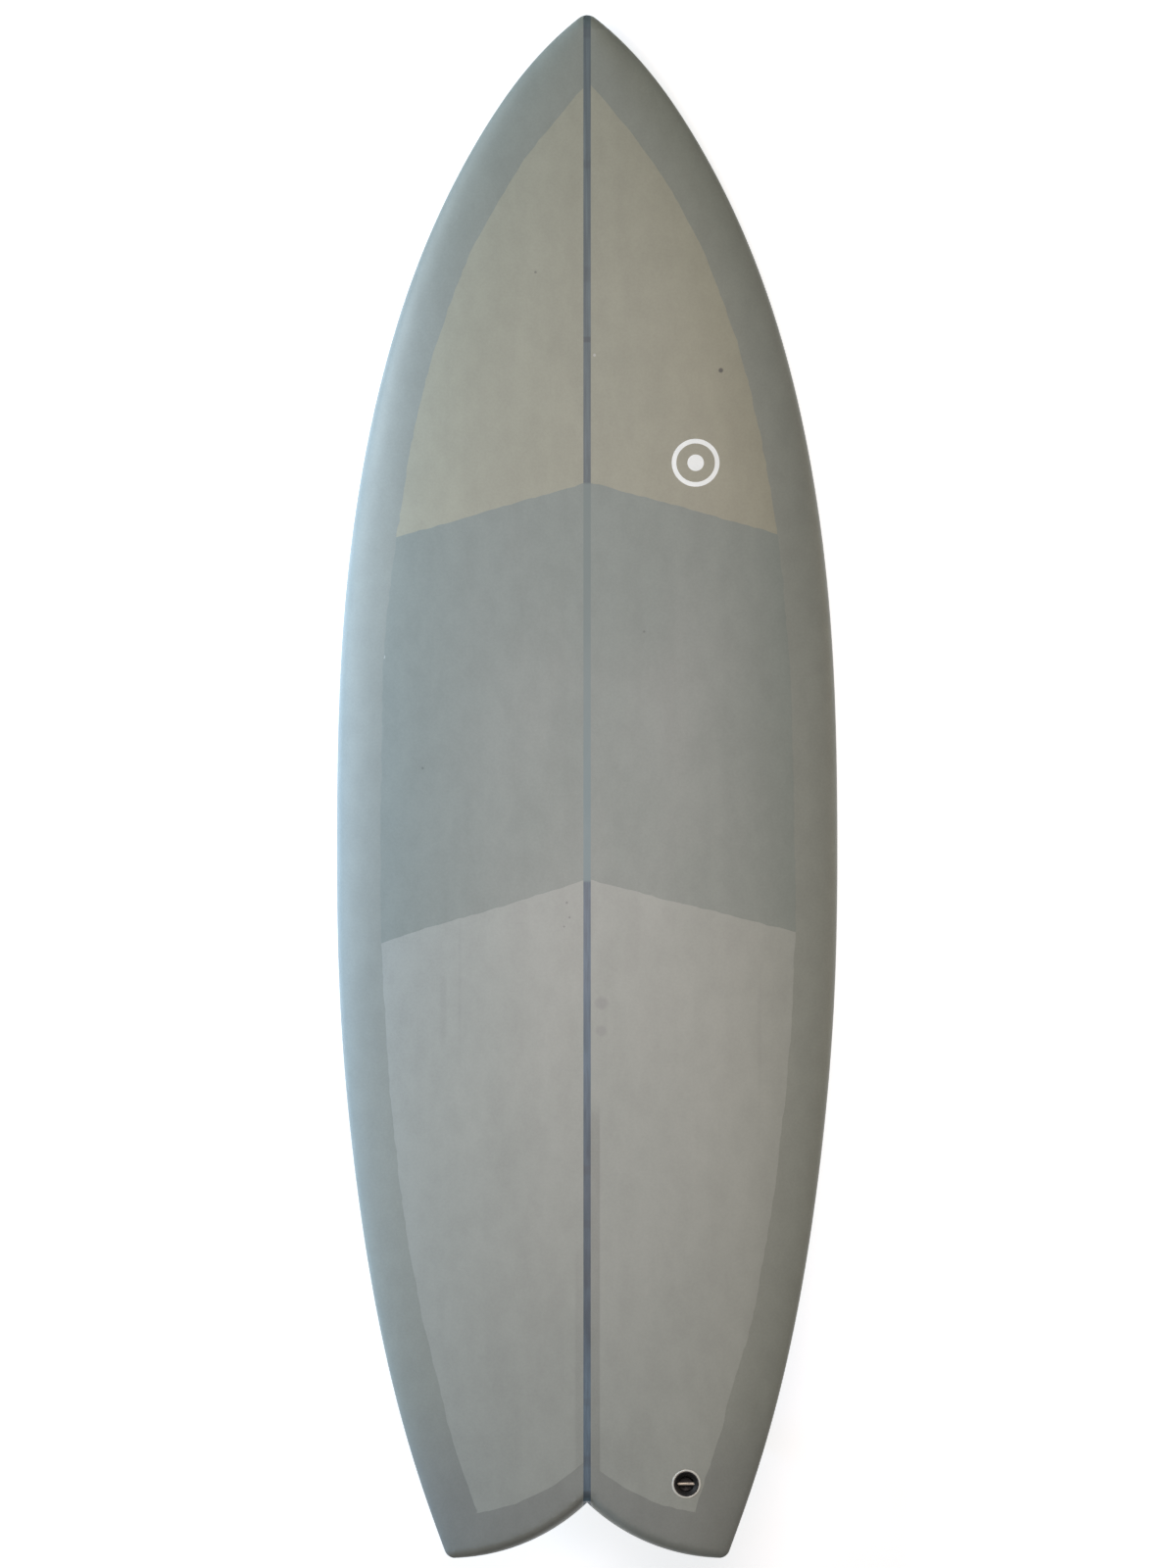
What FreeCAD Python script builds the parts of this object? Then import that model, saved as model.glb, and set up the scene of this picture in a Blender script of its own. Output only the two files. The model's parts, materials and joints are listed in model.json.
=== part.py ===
"""Fish-tail shortboard surfboard with two removable keel fins.

The board is drawn level in its own frame, in millimetres: +Y runs from the tail tips to the nose, +X to the
right rail as seen from above the deck, and +Z up out of the deck. Every sub-part's Placement then stands the
board as it rests on a floor, on its two fin tips and its belly, centred over the origin.
"""

import FreeCAD, Part
import math
import os

import Sketcher
from FreeCAD import Placement, Rotation, Vector

X, Y, Z = Vector(1, 0, 0), Vector(0, 1, 0), Vector(0, 0, 1)

# ---------------------------------------------------------------------------------------------------------
# Driving dimensions: alias, value in mm (angles in degrees, ratios plain), what it is
# ---------------------------------------------------------------------------------------------------------

DIMENSIONS = [
    ("board_length", 1676.4, "tail tips to nose"),
    ("board_thickness", 63.5, "thickest section, on the centre line"),
    ("thick_station", 860.0, "where the board is thickest"),
    ("nose_thickness", 9.0, "thickness at the nose"),
    ("tail_thickness", 20.0, "thickness at the tail tips"),
    ("nose_foil_power", 1.9, "how late the thickness runs out towards the nose"),
    ("tail_foil_power", 1.7, "how late the thickness runs out towards the tail"),
    ("low_station", 720.0, "lowest point of the rocker"),
    ("nose_rocker", 110.0, "rise of the bottom at the nose"),
    ("tail_rocker", 45.0, "rise of the bottom at the tail tips"),
    ("rail_height", 0.38, "height of the rail's apex as a share of the thickness"),
    ("deck_roundness", 2.4, "exponent of the deck's crown"),
    ("bottom_roundness", 8.0, "exponent of the flat bottom's turn into the rail"),
    ("lobe_radius", 217.5, "radius of each trailing edge of the swallow tail"),
    ("lobe_spread", 150.0, "half the distance between the trailing edges' lowest points"),
    ("tip_radius", 12.0, "rounding of the tail tips"),
    ("stringer_width", 8.0, "wooden stringer, near enough 5/16 in"),
    ("laminate", 1.1, "each layer of glass and resin"),
    ("deck_lap", 48.0, "width of the bottom lamination's lap on the deck"),
    ("bottom_lap", 30.0, "width of the deck lamination's lap on the bottom"),
    ("patch_front", 1171.0, "front point of the deck patch's chevron"),
    ("patch_rear", 739.0, "rear point of the deck patch's chevron"),
    ("patch_slope", 0.29, "fall of the chevrons from the stringer to the laps"),
    ("decal_station", 1192.0, "centre of the decal along the board"),
    ("decal_offset", 118.0, "centre of the decal to the right of the stringer"),
    ("decal_radius", 26.0, "outer radius of the decal's ring"),
    ("decal_line", 5.0, "width of the decal's ring"),
    ("decal_disc", 9.0, "radius of the decal's disc"),
    ("leash_station", 80.9, "centre of the leash plug along the board"),
    ("leash_offset", 108.1, "centre of the leash plug to the right of the stringer"),
    ("cup_radius", 13.65, "leash cup, outside"),
    ("cup_mouth_radius", 12.0, "leash cup, top of its funnel"),
    ("cup_cavity_radius", 8.5, "leash cup, cavity"),
    ("cup_funnel_depth", 3.2, "leash cup, depth of its funnel"),
    ("cup_cavity_depth", 13.0, "leash cup, depth of its cavity"),
    ("cup_depth", 15.0, "leash cup, overall"),
    ("leash_pin_radius", 1.8, "pin across the leash cup"),
    ("leash_pin_depth", 4.6, "depth of the pin's axis under the deck"),
    ("leash_pin_length", 22.0, "pin across the leash cup, end to end"),
    ("ring_width", 2.4, "resin ring around the leash cup"),
    ("fin_station", 222.0, "middle of the fins' base along the board"),
    ("fin_offset", 158.0, "middle of the fins' base from the stringer"),
    ("fin_cant", 6.0, "outward lean of the fins"),
    ("fin_toe_in", 2.0, "inward turn of the fins' leading edges"),
    ("fin_base", 165.0, "length of the fins' base"),
    ("fin_depth", 128.0, "depth of the fins"),
    ("fin_thickness", 9.0, "fins, at the base"),
    ("fin_rake", 88.0, "how far behind the base's middle the tips are"),
    ("fin_gap", 0.4, "gap between the fins' base and the bottom"),
    ("fin_edge", 1.0, "thickness of the fins' trailing edge"),
    ("fin_hollow", 14.0, "hollow of the fins' trailing edge"),
    ("fin_tip_thickness", 1.6, "fins, near the tip"),
    ("tab_spacing", 72.0, "distance between a fin's tabs"),
    ("tab_length", 22.0, "fin tab, along the board"),
    ("tab_width", 6.3, "fin tab, across"),
    ("tab_depth", 12.5, "fin tab, into the board"),
    ("tab_root", 2.5, "how far a tab runs into the blade"),
    ("tab_clearance", 0.3, "gap between a tab and each wall of its slot"),
    ("plug_length", 36.0, "fin plug, along the board"),
    ("plug_width", 26.0, "fin plug, across"),
    ("plug_depth", 15.0, "fin plug, into the board"),
    ("plug_excess", 3.0, "how far a plug stands out before it is sanded flush"),
    ("slot_floor", 0.8, "gap under a seated tab"),
    ("pot_wall", 2.0, "resin around and under each fin plug"),
    ("screw_radius", 2.5, "grub screw, M5"),
    ("screw_length", 5.0, "grub screw"),
    ("screw_angle", 35.0, "grub screw's lean from the slot's own axis"),
    ("screw_aim", 8.6, "depth at which the grub screw's axis meets the slot's wall"),
    ("screw_inset", 3.6, "how far up its axis the grub screw's end stops, clear of the slot"),
    ("socket_radius", 1.44, "grub screw's hexagonal socket, over its corners"),
    ("socket_depth", 2.5, "grub screw's hexagonal socket"),
]

# The outline of the right half: name, distance from the tail tips, half width
OUTLINE = [
    ("run_out", -30.0, 140.5),
    ("tail_tip", 0.0, 152.0),
    ("tail_block", 96.0, 186.0),
    ("fin_line", 224.0, 220.3),
    ("hip", 395.0, 250.0),
    ("rear_quarter", 607.0, 269.7),
    ("wide_point", 800.0, 273.05),
    ("front_quarter", 1033.0, 264.5),
    ("shoulder", 1246.0, 232.6),
    ("entry", 1417.0, 180.6),
    ("nose_curve", 1544.0, 117.7),
    ("nose", 1630.0, 55.5),
    ("nose_tip", 1676.4, 5.0),
]

doc = FreeCAD.newDocument("fish_surfboard")
sheet = doc.addObject("Spreadsheet::Sheet", "Dimensions")


def fill_sheet():
    """Writes the driving dimensions and the outline into the sheet, one row each."""
    rows = list(DIMENSIONS)
    for place, station, half_width in OUTLINE:
        rows.append((f"{place}_station", station, "outline, distance from the tail tips"))
        rows.append((f"{place}_half_width", half_width, "outline, half width there"))
    for row, (alias, value, meaning) in enumerate(rows, start=1):
        sheet.set(f"A{row}", meaning)
        sheet.set(f"B{row}", str(value))
        sheet.setAlias(f"B{row}", alias)
    doc.recompute()


fill_sheet()


def size(alias):
    return float(sheet.get(alias))


# ---------------------------------------------------------------------------------------------------------
# The hull's lines
# ---------------------------------------------------------------------------------------------------------

FAR = 400.0  # reaches past the board in height and width
STATIONS = 24  # cross-sections that shape a hull
SPANS = 12  # spans of each cross-section's deck or bottom curve
LINE_SPANS = 16  # spans of the long curves that the laps and the rail's apex follow
TIP_INSET = 1.06  # tail tip's centre inside the rail, in tip radii: the rail leans there
TIP_OUT_ANGLE = 66  # a little flatter than the rail at the tip, so the tail's cutter leaves the board


def outline_curve():
    """The right half of the outline, from behind the tail to the nose."""
    points = [Vector(size(f"{place}_half_width"), size(f"{place}_station"), 0) for place, _, _ in OUTLINE]
    curve = Part.BSplineCurve()
    curve.interpolate(points)
    return curve


RIM = outline_curve()


def rim_point(share, inset):
    """A point of the outline moved inwards by inset, from behind the tail (0) to the nose (1)."""
    at = RIM.FirstParameter + share * (RIM.LastParameter - RIM.FirstParameter)
    along = RIM.tangent(at)[0]
    return RIM.value(at) + Vector(-along.y, along.x, 0) * inset


def rocker(y):
    """Height of the bottom on the centre line."""
    low = size("low_station")
    if y > low:
        return size("nose_rocker") * ((y - low) / (size("board_length") - low)) ** 2
    return size("tail_rocker") * ((low - y) / low) ** 2


def thickness(y):
    """Thickness on the centre line."""
    thick, middle = size("board_thickness"), size("thick_station")
    if y > middle:
        share = (y - middle) / (size("board_length") - middle)
        return thick - (thick - size("nose_thickness")) * share ** size("nose_foil_power")
    share = (middle - y) / middle
    return thick - (thick - size("tail_thickness")) * share ** size("tail_foil_power")


def half_width(y):
    """Half width of the outline at y."""
    low, high = 0.0, 1.0
    while high - low > 1e-7:
        middle = (low + high) / 2
        low, high = (middle, high) if rim_point(middle, 0).y < y else (low, middle)
    return rim_point(low, 0).x


def surface_height(x, y, half, inset, deck):
    """Height of the deck or the bottom at x, on a section of that half width."""
    bottom, top = rocker(y) + inset, rocker(y) + thickness(y) - inset
    apex = bottom + (top - bottom) * size("rail_height")
    power = size("deck_roundness" if deck else "bottom_roundness")
    rise = math.sqrt(max(0.0, 1 - min(1.0, abs(x) / half) ** power))
    return apex + ((top if deck else bottom) - apex) * rise


def smooth(points, parameters):
    """A cubic spline through the points, at those parameters."""
    curve = Part.BSplineCurve()
    curve.interpolate(Points=points, Parameters=parameters)
    return curve


def hull_surface(inset, deck):
    """The deck or the bottom, as one spline surface from behind the tail to the nose."""
    across = [step / SPANS for step in range(SPANS + 1)]
    along = [number / (STATIONS - 1) for number in range(STATIONS)]
    rows = []
    for share in along:
        rim = rim_point(share, inset)
        row = []
        for part in across:
            x = rim.x * math.sin(math.pi * (part - 0.5))
            row.append(Vector(x, rim.y, surface_height(x, rim.y, rim.x, inset, deck)))
        section = smooth(row, across)
        rows.append(section.getPoles())
    columns = [smooth(list(column), along) for column in zip(*rows)]
    surface = Part.BSplineSurface()
    surface.buildFromPolesMultsKnots(
        [column.getPoles() for column in columns],
        section.getMultiplicities(),
        columns[0].getMultiplicities(),
        section.getKnots(),
        columns[0].getKnots(),
        False,
        False,
        3,
        3,
    )
    return surface


def closed_solid(faces):
    """The solid that the faces enclose."""
    shell = Part.Shell(faces)
    shell.sewShape()
    solid = Part.Solid(shell)
    if solid.Volume < 0:
        solid.reverse()
    return solid


def upright(face):
    """A prism through the whole height of the board."""
    return face.translated(-Z * FAR).extrude(Z * 2 * FAR)


def mirrored(point):
    return Vector(-point.x, point.y, point.z)


def behind_tail(inset):
    """All that lies behind the swallow tail, moved inwards by inset."""
    radius, spread, corner = size("lobe_radius"), size("lobe_spread"), size("tip_radius")
    lobe_centre = Vector(spread, radius, 0)
    tip_centre = Vector(half_width(corner) - corner * TIP_INSET, corner, 0)
    down = (tip_centre - lobe_centre).normalize()
    lobe_end = tip_centre + down * (corner - inset)
    crotch = Vector(0, radius - math.sqrt((radius - inset) ** 2 - spread**2), 0)
    lobe_middle = lobe_centre + ((crotch - lobe_centre).normalize() + down).normalize() * (radius - inset)
    out_angle = math.radians(TIP_OUT_ANGLE)
    out = Vector(math.sin(out_angle), -math.cos(out_angle), 0)
    tip_end = tip_centre + out * (corner - inset)
    tip_middle = tip_centre + (down + out).normalize() * (corner - inset)
    aside = tip_end + Vector(math.cos(out_angle), math.sin(out_angle), 0) * FAR
    edges = []
    for turn in (lambda point: point, mirrored):
        edges += [
            Part.Arc(turn(crotch), turn(lobe_middle), turn(lobe_end)).toShape(),
            Part.Arc(turn(lobe_end), turn(tip_middle), turn(tip_end)).toShape(),
            Part.LineSegment(turn(tip_end), turn(aside)).toShape(),
            Part.LineSegment(turn(aside), turn(Vector(aside.x, -FAR, 0))).toShape(),
        ]
    edges.append(Part.LineSegment(Vector(aside.x, -FAR, 0), Vector(-aside.x, -FAR, 0)).toShape())
    return upright(Part.Face(Part.Wire(Part.__sortEdges__(edges))))


def hull(inset):
    """The board's whole body, with every side moved inwards by inset."""
    deck, bottom = hull_surface(inset, True), hull_surface(inset, False)
    faces = [deck.toShape(), bottom.toShape()]
    for end in (0.0, 1.0):
        edges = [deck.vIso(end).toShape(), bottom.vIso(end).toShape()]
        faces.append(Part.Face(Part.Wire(Part.__sortEdges__(edges))))
    return closed_solid(faces).cut(behind_tail(inset))


# ---------------------------------------------------------------------------------------------------------
# The lines that the laminations are cut to, as prisms through the board
# ---------------------------------------------------------------------------------------------------------


def inside_lap(width):
    """All that lies inside a lap of that width around the board."""
    low, high = 0.5, 1.0
    while high - low > 1e-7:
        middle = (low + high) / 2
        low, high = (middle, high) if rim_point(middle, width).x > 0 else (low, middle)
    points = [rim_point(low * step / LINE_SPANS, width) for step in range(LINE_SPANS + 1)]
    points[-1].x = 0
    edges = []
    for turn in (lambda point: point, mirrored):
        side = Part.BSplineCurve()
        side.interpolate([turn(point) for point in points])
        edges.append(side.toShape())
    edges.append(Part.LineSegment(points[0], mirrored(points[0])).toShape())
    prism = upright(Part.Face(Part.Wire(Part.__sortEdges__(edges))))
    return prism.cut(behind_tail(0).translated(Y * width))


def above_rail():
    """All that lies above the rail's apex."""
    nose, overhang = size("board_length"), FAR / 8
    stations = [(nose + 2 * overhang) * step / LINE_SPANS - overhang for step in range(LINE_SPANS + 1)]
    line = [Vector(-FAR, y, rocker(y) + thickness(min(y, nose)) * size("rail_height")) for y in stations]
    apex = Part.BSplineCurve()
    apex.interpolate(line)
    top = [Vector(-FAR, stations[-1], FAR), Vector(-FAR, stations[0], FAR)]
    sides = Part.makePolygon([line[-1], *top, line[0]])
    return Part.Face(Part.Wire([apex.toShape(), *sides.Edges])).extrude(X * 2 * FAR)


def between_chevrons():
    """The band across the board that the deck patch covers."""
    fall = size("patch_slope") * FAR
    front, rear = size("patch_front"), size("patch_rear")
    ahead = [Vector(-FAR, front - fall, 0), Vector(0, front, 0), Vector(FAR, front - fall, 0)]
    behind = [Vector(FAR, rear - fall, 0), Vector(0, rear, 0), Vector(-FAR, rear - fall, 0)]
    return upright(Part.Face(Part.makePolygon([*ahead, *behind, ahead[0]])))


def decal_marks():
    """A plain ring with a disc in its middle."""
    centre = Vector(size("decal_offset"), size("decal_station"), -FAR)
    outer, line, disc = (
        Part.makeCylinder(radius, 2 * FAR, centre)
        for radius in (size("decal_radius"), size("decal_radius") - size("decal_line"), size("decal_disc"))
    )
    return outer.cut(line).fuse(disc)


# ---------------------------------------------------------------------------------------------------------
# Where the fittings sit, as Placements in the board's own frame
# ---------------------------------------------------------------------------------------------------------


def bottom_slope(y):
    return (rocker(y + 1) - rocker(y - 1)) / 2


def fin_frame(side):
    """The middle of a fin's base: Z out of the board along the fin, X towards the stringer."""
    y = size("fin_station")
    x = size("fin_offset")
    cant, toe = math.radians(size("fin_cant")), math.radians(size("fin_toe_in"))
    down = Vector(0, bottom_slope(y), -1).normalize() * math.cos(cant) + X * side * math.sin(cant)
    ahead = Vector(-side * math.sin(toe), math.cos(toe), bottom_slope(y))
    foot = Vector(side * x, y, surface_height(x, y, half_width(y), 0, False))
    return Placement(foot, Rotation(Vector(), ahead * side, down, "ZYX"))


def plug_frame(side, end):
    """The middle of a fin plug's mouth, with its fin's axes."""
    return fin_frame(side) * Placement(Y * end * side * size("tab_spacing") / 2, Rotation())


def leash_frame():
    """The middle of the leash plug, with Z square to the deck."""
    x, y, step = size("leash_offset"), size("leash_station"), 5.0

    def deck_point(px, py):
        return Vector(px, py, surface_height(px, py, half_width(py), 0, True))

    across = deck_point(x + step, y) - deck_point(x - step, y)
    along = deck_point(x, y + step) - deck_point(x, y - step)
    return Placement(deck_point(x, y), Rotation(across, Vector(), across.cross(along), "ZXY"))


SIDES = {"left": -1, "right": 1}
ENDS = {"front": 1, "rear": -1}
PLUGS = {f"{side}_{end}": plug_frame(SIDES[side], ENDS[end]) for side in SIDES for end in ENDS}
LEASH = leash_frame()


# ---------------------------------------------------------------------------------------------------------
# Tools for the document's objects
# ---------------------------------------------------------------------------------------------------------


def shaped(label, shape):
    """A sub-part whose shape is set directly, with a single solid unwrapped."""
    thing = doc.addObject("Part::Feature", label)
    thing.Shape = shape.Solids[0] if len(shape.Solids) == 1 else shape
    return thing


def primitive(kind, name, placement=None, **sizes):
    """A Part primitive whose sizes are bound to the sheet."""
    thing = doc.addObject(f"Part::{kind}", name)
    for key, formula in sizes.items():
        thing.setExpression(key.replace("__", "."), formula)
    if placement:
        thing.Placement = placement
    return thing


def cut(label, base, *tools):
    """A sub-part made by cutting tools from a base."""
    tool = tools[0]
    if len(tools) > 1:
        tool = doc.addObject("Part::MultiFuse", f"{label}_tools")
        tool.Shapes = list(tools)
    result = doc.addObject("Part::Cut", label)
    result.Base, result.Tool = base, tool
    return result


def sketch_on(body, name, placement=None):
    """A sketch on the body's XY plane, moved by placement."""
    sketch = body.newObject("Sketcher::SketchObject", name)
    plane = next(item for item in body.Origin.OriginFeatures if item.Role == "XY_Plane")
    sketch.AttachmentSupport = [(plane, "")]
    sketch.MapMode = "FlatFace"
    if placement:
        sketch.AttachmentOffset = placement
    return sketch


def dimension(sketch, constraint, formula):
    """Adds a dimension bound to the sheet."""
    sketch.setExpression(f"Constraints[{sketch.addConstraint(constraint)}]", formula)


def draw_obround(sketch, length, width):
    """A round-ended slot along Y, centred on the origin, from formulas for its length and width."""
    radius, reach = 10.0, 5.0
    ends = [(reach, 0, math.pi), (-reach, math.pi, 2 * math.pi)]
    for centre, start, stop in ends:
        circle = Part.Circle(Vector(0, centre, 0), Z, radius)
        sketch.addGeometry(Part.ArcOfCircle(circle, start, stop), False)
    sketch.addGeometry(Part.LineSegment(Vector(-radius, reach, 0), Vector(-radius, -reach, 0)), False)
    sketch.addGeometry(Part.LineSegment(Vector(radius, -reach, 0), Vector(radius, reach, 0)), False)
    for joint in ((0, 2, 2, 1), (2, 2, 1, 1), (1, 2, 3, 1), (3, 2, 0, 1)):
        sketch.addConstraint(Sketcher.Constraint("Tangent", *joint))
    sketch.addConstraint(Sketcher.Constraint("Symmetric", 0, 3, 1, 3, -1, 1))
    sketch.addConstraint(Sketcher.Constraint("PointOnObject", 0, 3, -2))
    dimension(sketch, Sketcher.Constraint("Radius", 0, radius), f"({width}) / 2")
    dimension(sketch, Sketcher.Constraint("DistanceY", -1, 1, 0, 3, reach), f"(({length}) - ({width})) / 2")


def draw_rectangle(sketch, length, width):
    """A rectangle with its length along Y, centred on the origin."""
    corners = [Vector(3, -11, 0), Vector(3, 11, 0), Vector(-3, 11, 0), Vector(-3, -11, 0)]
    for start, stop in zip(corners, corners[1:] + corners[:1]):
        sketch.addGeometry(Part.LineSegment(start, stop), False)
    for line in range(4):
        sketch.addConstraint(Sketcher.Constraint("Coincident", line, 2, (line + 1) % 4, 1))
        direction = "Horizontal" if line % 2 else "Vertical"
        sketch.addConstraint(Sketcher.Constraint(direction, line))
    sketch.addConstraint(Sketcher.Constraint("Symmetric", 0, 1, 1, 2, -1, 1))
    dimension(sketch, Sketcher.Constraint("DistanceY", 0, 1, 0, 2, 22), length)
    dimension(sketch, Sketcher.Constraint("DistanceX", 1, 2, 1, 1, 6), width)


# ---------------------------------------------------------------------------------------------------------
# Blank, stringer and laminations
# ---------------------------------------------------------------------------------------------------------


def obround_prism(frame, grow, depth):
    """A plug's outline grown all round, from over the bottom's surface to that depth in the board."""
    radius = size("plug_width") / 2 + grow
    reach = size("plug_length") / 2 + grow - radius
    height = depth + size("plug_excess")
    block = Part.makeBox(2 * radius, 2 * reach, height, Vector(-radius, -reach, -depth))
    for end in (-reach, reach):
        block = block.fuse(Part.makeCylinder(radius, height, Vector(0, end, -depth)))
    block = block.removeSplitter()
    block.Placement = frame
    return block


def make_laminations():
    """Returns the outer hull, and fills the document with every piece that follows the hull's lines."""
    layer = size("laminate")
    outer, middle, core = hull(0), hull(layer), hull(2 * layer)
    deck_side, field, marks = above_rail(), inside_lap(size("deck_lap")), decal_marks()
    patch_zone = field.common(between_chevrons())
    window_zone = field.cut(between_chevrons()).cut(marks)
    bottom_field = inside_lap(size("bottom_lap")).cut(deck_side)
    inner_layer = middle.cut(core)
    windows_open = middle.cut(window_zone.common(deck_side)).fuse(core)

    radius, depth = size("cup_radius") + size("ring_width"), size("cup_depth")
    leash_hole = Part.makeCylinder(radius, depth + size("plug_excess"), Vector(0, 0, -depth))
    leash_hole.Placement = LEASH
    pot = size("pot_wall")
    holes = [leash_hole] + [obround_prism(frame, pot, size("plug_depth") + pot) for frame in PLUGS.values()]

    wood = size("stringer_width")
    slab = Part.makeBox(wood, 6 * FAR, 2 * FAR, Vector(-wood / 2, -FAR, -FAR))
    halves = core.cut(slab).cut(holes)
    for half in halves.Solids:
        side = "left" if half.CenterOfMass.x < 0 else "right"
        shaped(f"foam_half_{side}", half)
    shaped("stringer", core.common(slab))
    shaped("bottom_lamination", inner_layer.cut(field.common(deck_side)).cut(holes))
    shaped("deck_patch", inner_layer.common(patch_zone).common(deck_side))
    shaped("deck_decal", inner_layer.common(marks).common(deck_side))
    shaped("deck_lamination", outer.cut(windows_open).cut(bottom_field).cut(holes))
    shaped("bottom_hot_coat", outer.cut(middle).common(bottom_field).cut(holes))
    return outer


# ---------------------------------------------------------------------------------------------------------
# Leash plug
# ---------------------------------------------------------------------------------------------------------


def make_leash_plug():
    """A cup with a funnelled mouth, the pin that a leash loops round, and the resin ring that sets it."""
    lying = Placement(Vector(), Rotation(Y, 90))
    blank = primitive("Cylinder", "CupBlank", Radius="Dimensions.cup_radius", Height="Dimensions.cup_depth")
    blank.setExpression("Placement.Base.z", "-Dimensions.cup_depth")
    cavity = primitive(
        "Cylinder", "CupCavity", Radius="Dimensions.cup_cavity_radius", Height="Dimensions.cup_cavity_depth"
    )
    cavity.setExpression("Placement.Base.z", "-Dimensions.cup_cavity_depth")
    funnel = primitive(
        "Cone",
        "CupFunnel",
        Radius1="Dimensions.cup_cavity_radius",
        Radius2="Dimensions.cup_mouth_radius",
        Height="Dimensions.cup_funnel_depth",
    )
    funnel.setExpression("Placement.Base.z", "-Dimensions.cup_funnel_depth")
    for name in ("CupPinHole", "leash_plug_pin"):
        pin = primitive(
            "Cylinder",
            name,
            lying,
            Radius="Dimensions.leash_pin_radius",
            Height="Dimensions.leash_pin_length",
        )
        pin.setExpression("Placement.Base.x", "-Dimensions.leash_pin_length / 2")
        pin.setExpression("Placement.Base.z", "-Dimensions.leash_pin_depth")
    cup = cut("leash_plug_cup", blank, cavity, funnel, doc.CupPinHole)
    ring_blank = primitive(
        "Cylinder",
        "RingBlank",
        Radius="Dimensions.cup_radius + Dimensions.ring_width",
        Height="Dimensions.cup_depth",
    )
    ring_blank.setExpression("Placement.Base.z", "-Dimensions.cup_depth")
    ring = cut("leash_plug_resin_ring", ring_blank, blank)
    doc.recompute()
    return cup, pin, ring


# ---------------------------------------------------------------------------------------------------------
# Fin plugs and grub screws
# ---------------------------------------------------------------------------------------------------------


def screw_axis(distance):
    """A point on a grub screw's axis, that far from where the axis meets the slot's wall."""
    lean = math.radians(size("screw_angle"))
    wall = Vector(size("tab_width") / 2 + size("tab_clearance"), 0, -size("screw_aim"))
    point = wall + Vector(math.sin(lean), 0, math.cos(lean)) * distance
    return Placement(point, Rotation(Y, size("screw_angle")))


def make_fin_plug(name):
    """A round-ended block with a slot for the tab and a leaning hole for the grub screw."""
    body = doc.addObject("PartDesign::Body", name)
    top = Placement(Z * size("plug_excess"), Rotation())
    outline = sketch_on(body, f"{name}_outline", top)
    draw_obround(outline, "Dimensions.plug_length", "Dimensions.plug_width")
    block = body.newObject("PartDesign::Pad", f"{name}_block")
    block.Profile, block.Reversed = outline, True
    block.setExpression("Length", "Dimensions.plug_depth + Dimensions.plug_excess")
    doc.recompute()
    whole = block.Shape.Volume

    slot_sketch = sketch_on(body, f"{name}_slot_outline", top)
    wider = "2 * Dimensions.tab_clearance"
    draw_rectangle(slot_sketch, f"Dimensions.tab_length + {wider}", f"Dimensions.tab_width + {wider}")
    slot = body.newObject("PartDesign::Pocket", f"{name}_slot")
    slot.Profile = slot_sketch
    slot.setExpression("Length", "Dimensions.tab_depth + Dimensions.slot_floor + Dimensions.plug_excess")
    doc.recompute()
    slotted = slot.Shape.Volume

    reach = 2 * size("plug_depth")
    hole_sketch = sketch_on(body, f"{name}_screw_outline", screw_axis(reach))
    hole_sketch.addGeometry(Part.Circle(Vector(), Z, size("screw_radius")), False)
    hole_sketch.addConstraint(Sketcher.Constraint("Coincident", 0, 3, -1, 1))
    radius = Sketcher.Constraint("Radius", 0, size("screw_radius"))
    dimension(hole_sketch, radius, "Dimensions.screw_radius")
    hole = body.newObject("PartDesign::Pocket", f"{name}_screw_hole")
    hole.Profile = hole_sketch
    hole.Length = reach
    doc.recompute()
    if not hole.Shape.Volume < slotted - 1 < whole - 2:
        raise RuntimeError(f"{name}: a pocket cut nothing")
    return body


def make_grub_screw():
    """A short set screw with a hexagonal socket, along its own Z."""
    blank = primitive(
        "Cylinder", "ScrewBlank", Radius="Dimensions.screw_radius", Height="Dimensions.screw_length"
    )
    socket = primitive("Prism", "ScrewSocket", Circumradius="Dimensions.socket_radius")
    socket.setExpression("Height", "Dimensions.socket_depth")
    socket.setExpression("Placement.Base.z", "Dimensions.screw_length - Dimensions.socket_depth")
    screw = cut("GrubScrew", blank, socket)
    doc.recompute()
    return screw.Shape


def make_fin_fittings(outer):
    """Four plugs sanded flush with the bottom, the resin that pots them, and a grub screw in each."""
    outer_hull = shaped("OuterHull", outer)
    screw, pots, screws = make_grub_screw(), [], []
    fittings = []
    for place, frame in PLUGS.items():
        block = make_fin_plug(f"{place}_plug_block")
        block.Placement = frame
        plug = doc.addObject("Part::Common", f"{place}_fin_plug")
        plug.Base, plug.Tool = block, outer_hull
        fittings.append(plug)
        wall = size("pot_wall")
        pot = obround_prism(frame, wall, size("plug_depth") + wall)
        pots += pot.cut(obround_prism(frame, 0, size("plug_depth"))).common(outer).Solids
        screws.append(screw.copy())
        screws[-1].Placement = frame * screw_axis(size("screw_inset"))
    doc.recompute()
    fittings.append(shaped("fin_plug_resin", Part.makeCompound(pots)))
    fittings.append(shaped("fin_grub_screws", Part.makeCompound(screws)))
    return fittings


# ---------------------------------------------------------------------------------------------------------
# Fins
# ---------------------------------------------------------------------------------------------------------

BLADE_STATIONS = (-0.03, 0.0, 0.12, 0.26, 0.4, 0.54, 0.67, 0.79, 0.88, 0.94, 0.975, 0.992)
FOIL_STEPS = 10
FOIL_BLUNTNESS = 2.2  # how fast the outer side swells behind the leading edge
FOIL_PEAK = 1.25  # the swelling that is cut off as full thickness
FOIL_FULLNESS = 0.42  # what is added to the outer side towards the trailing edge


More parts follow.
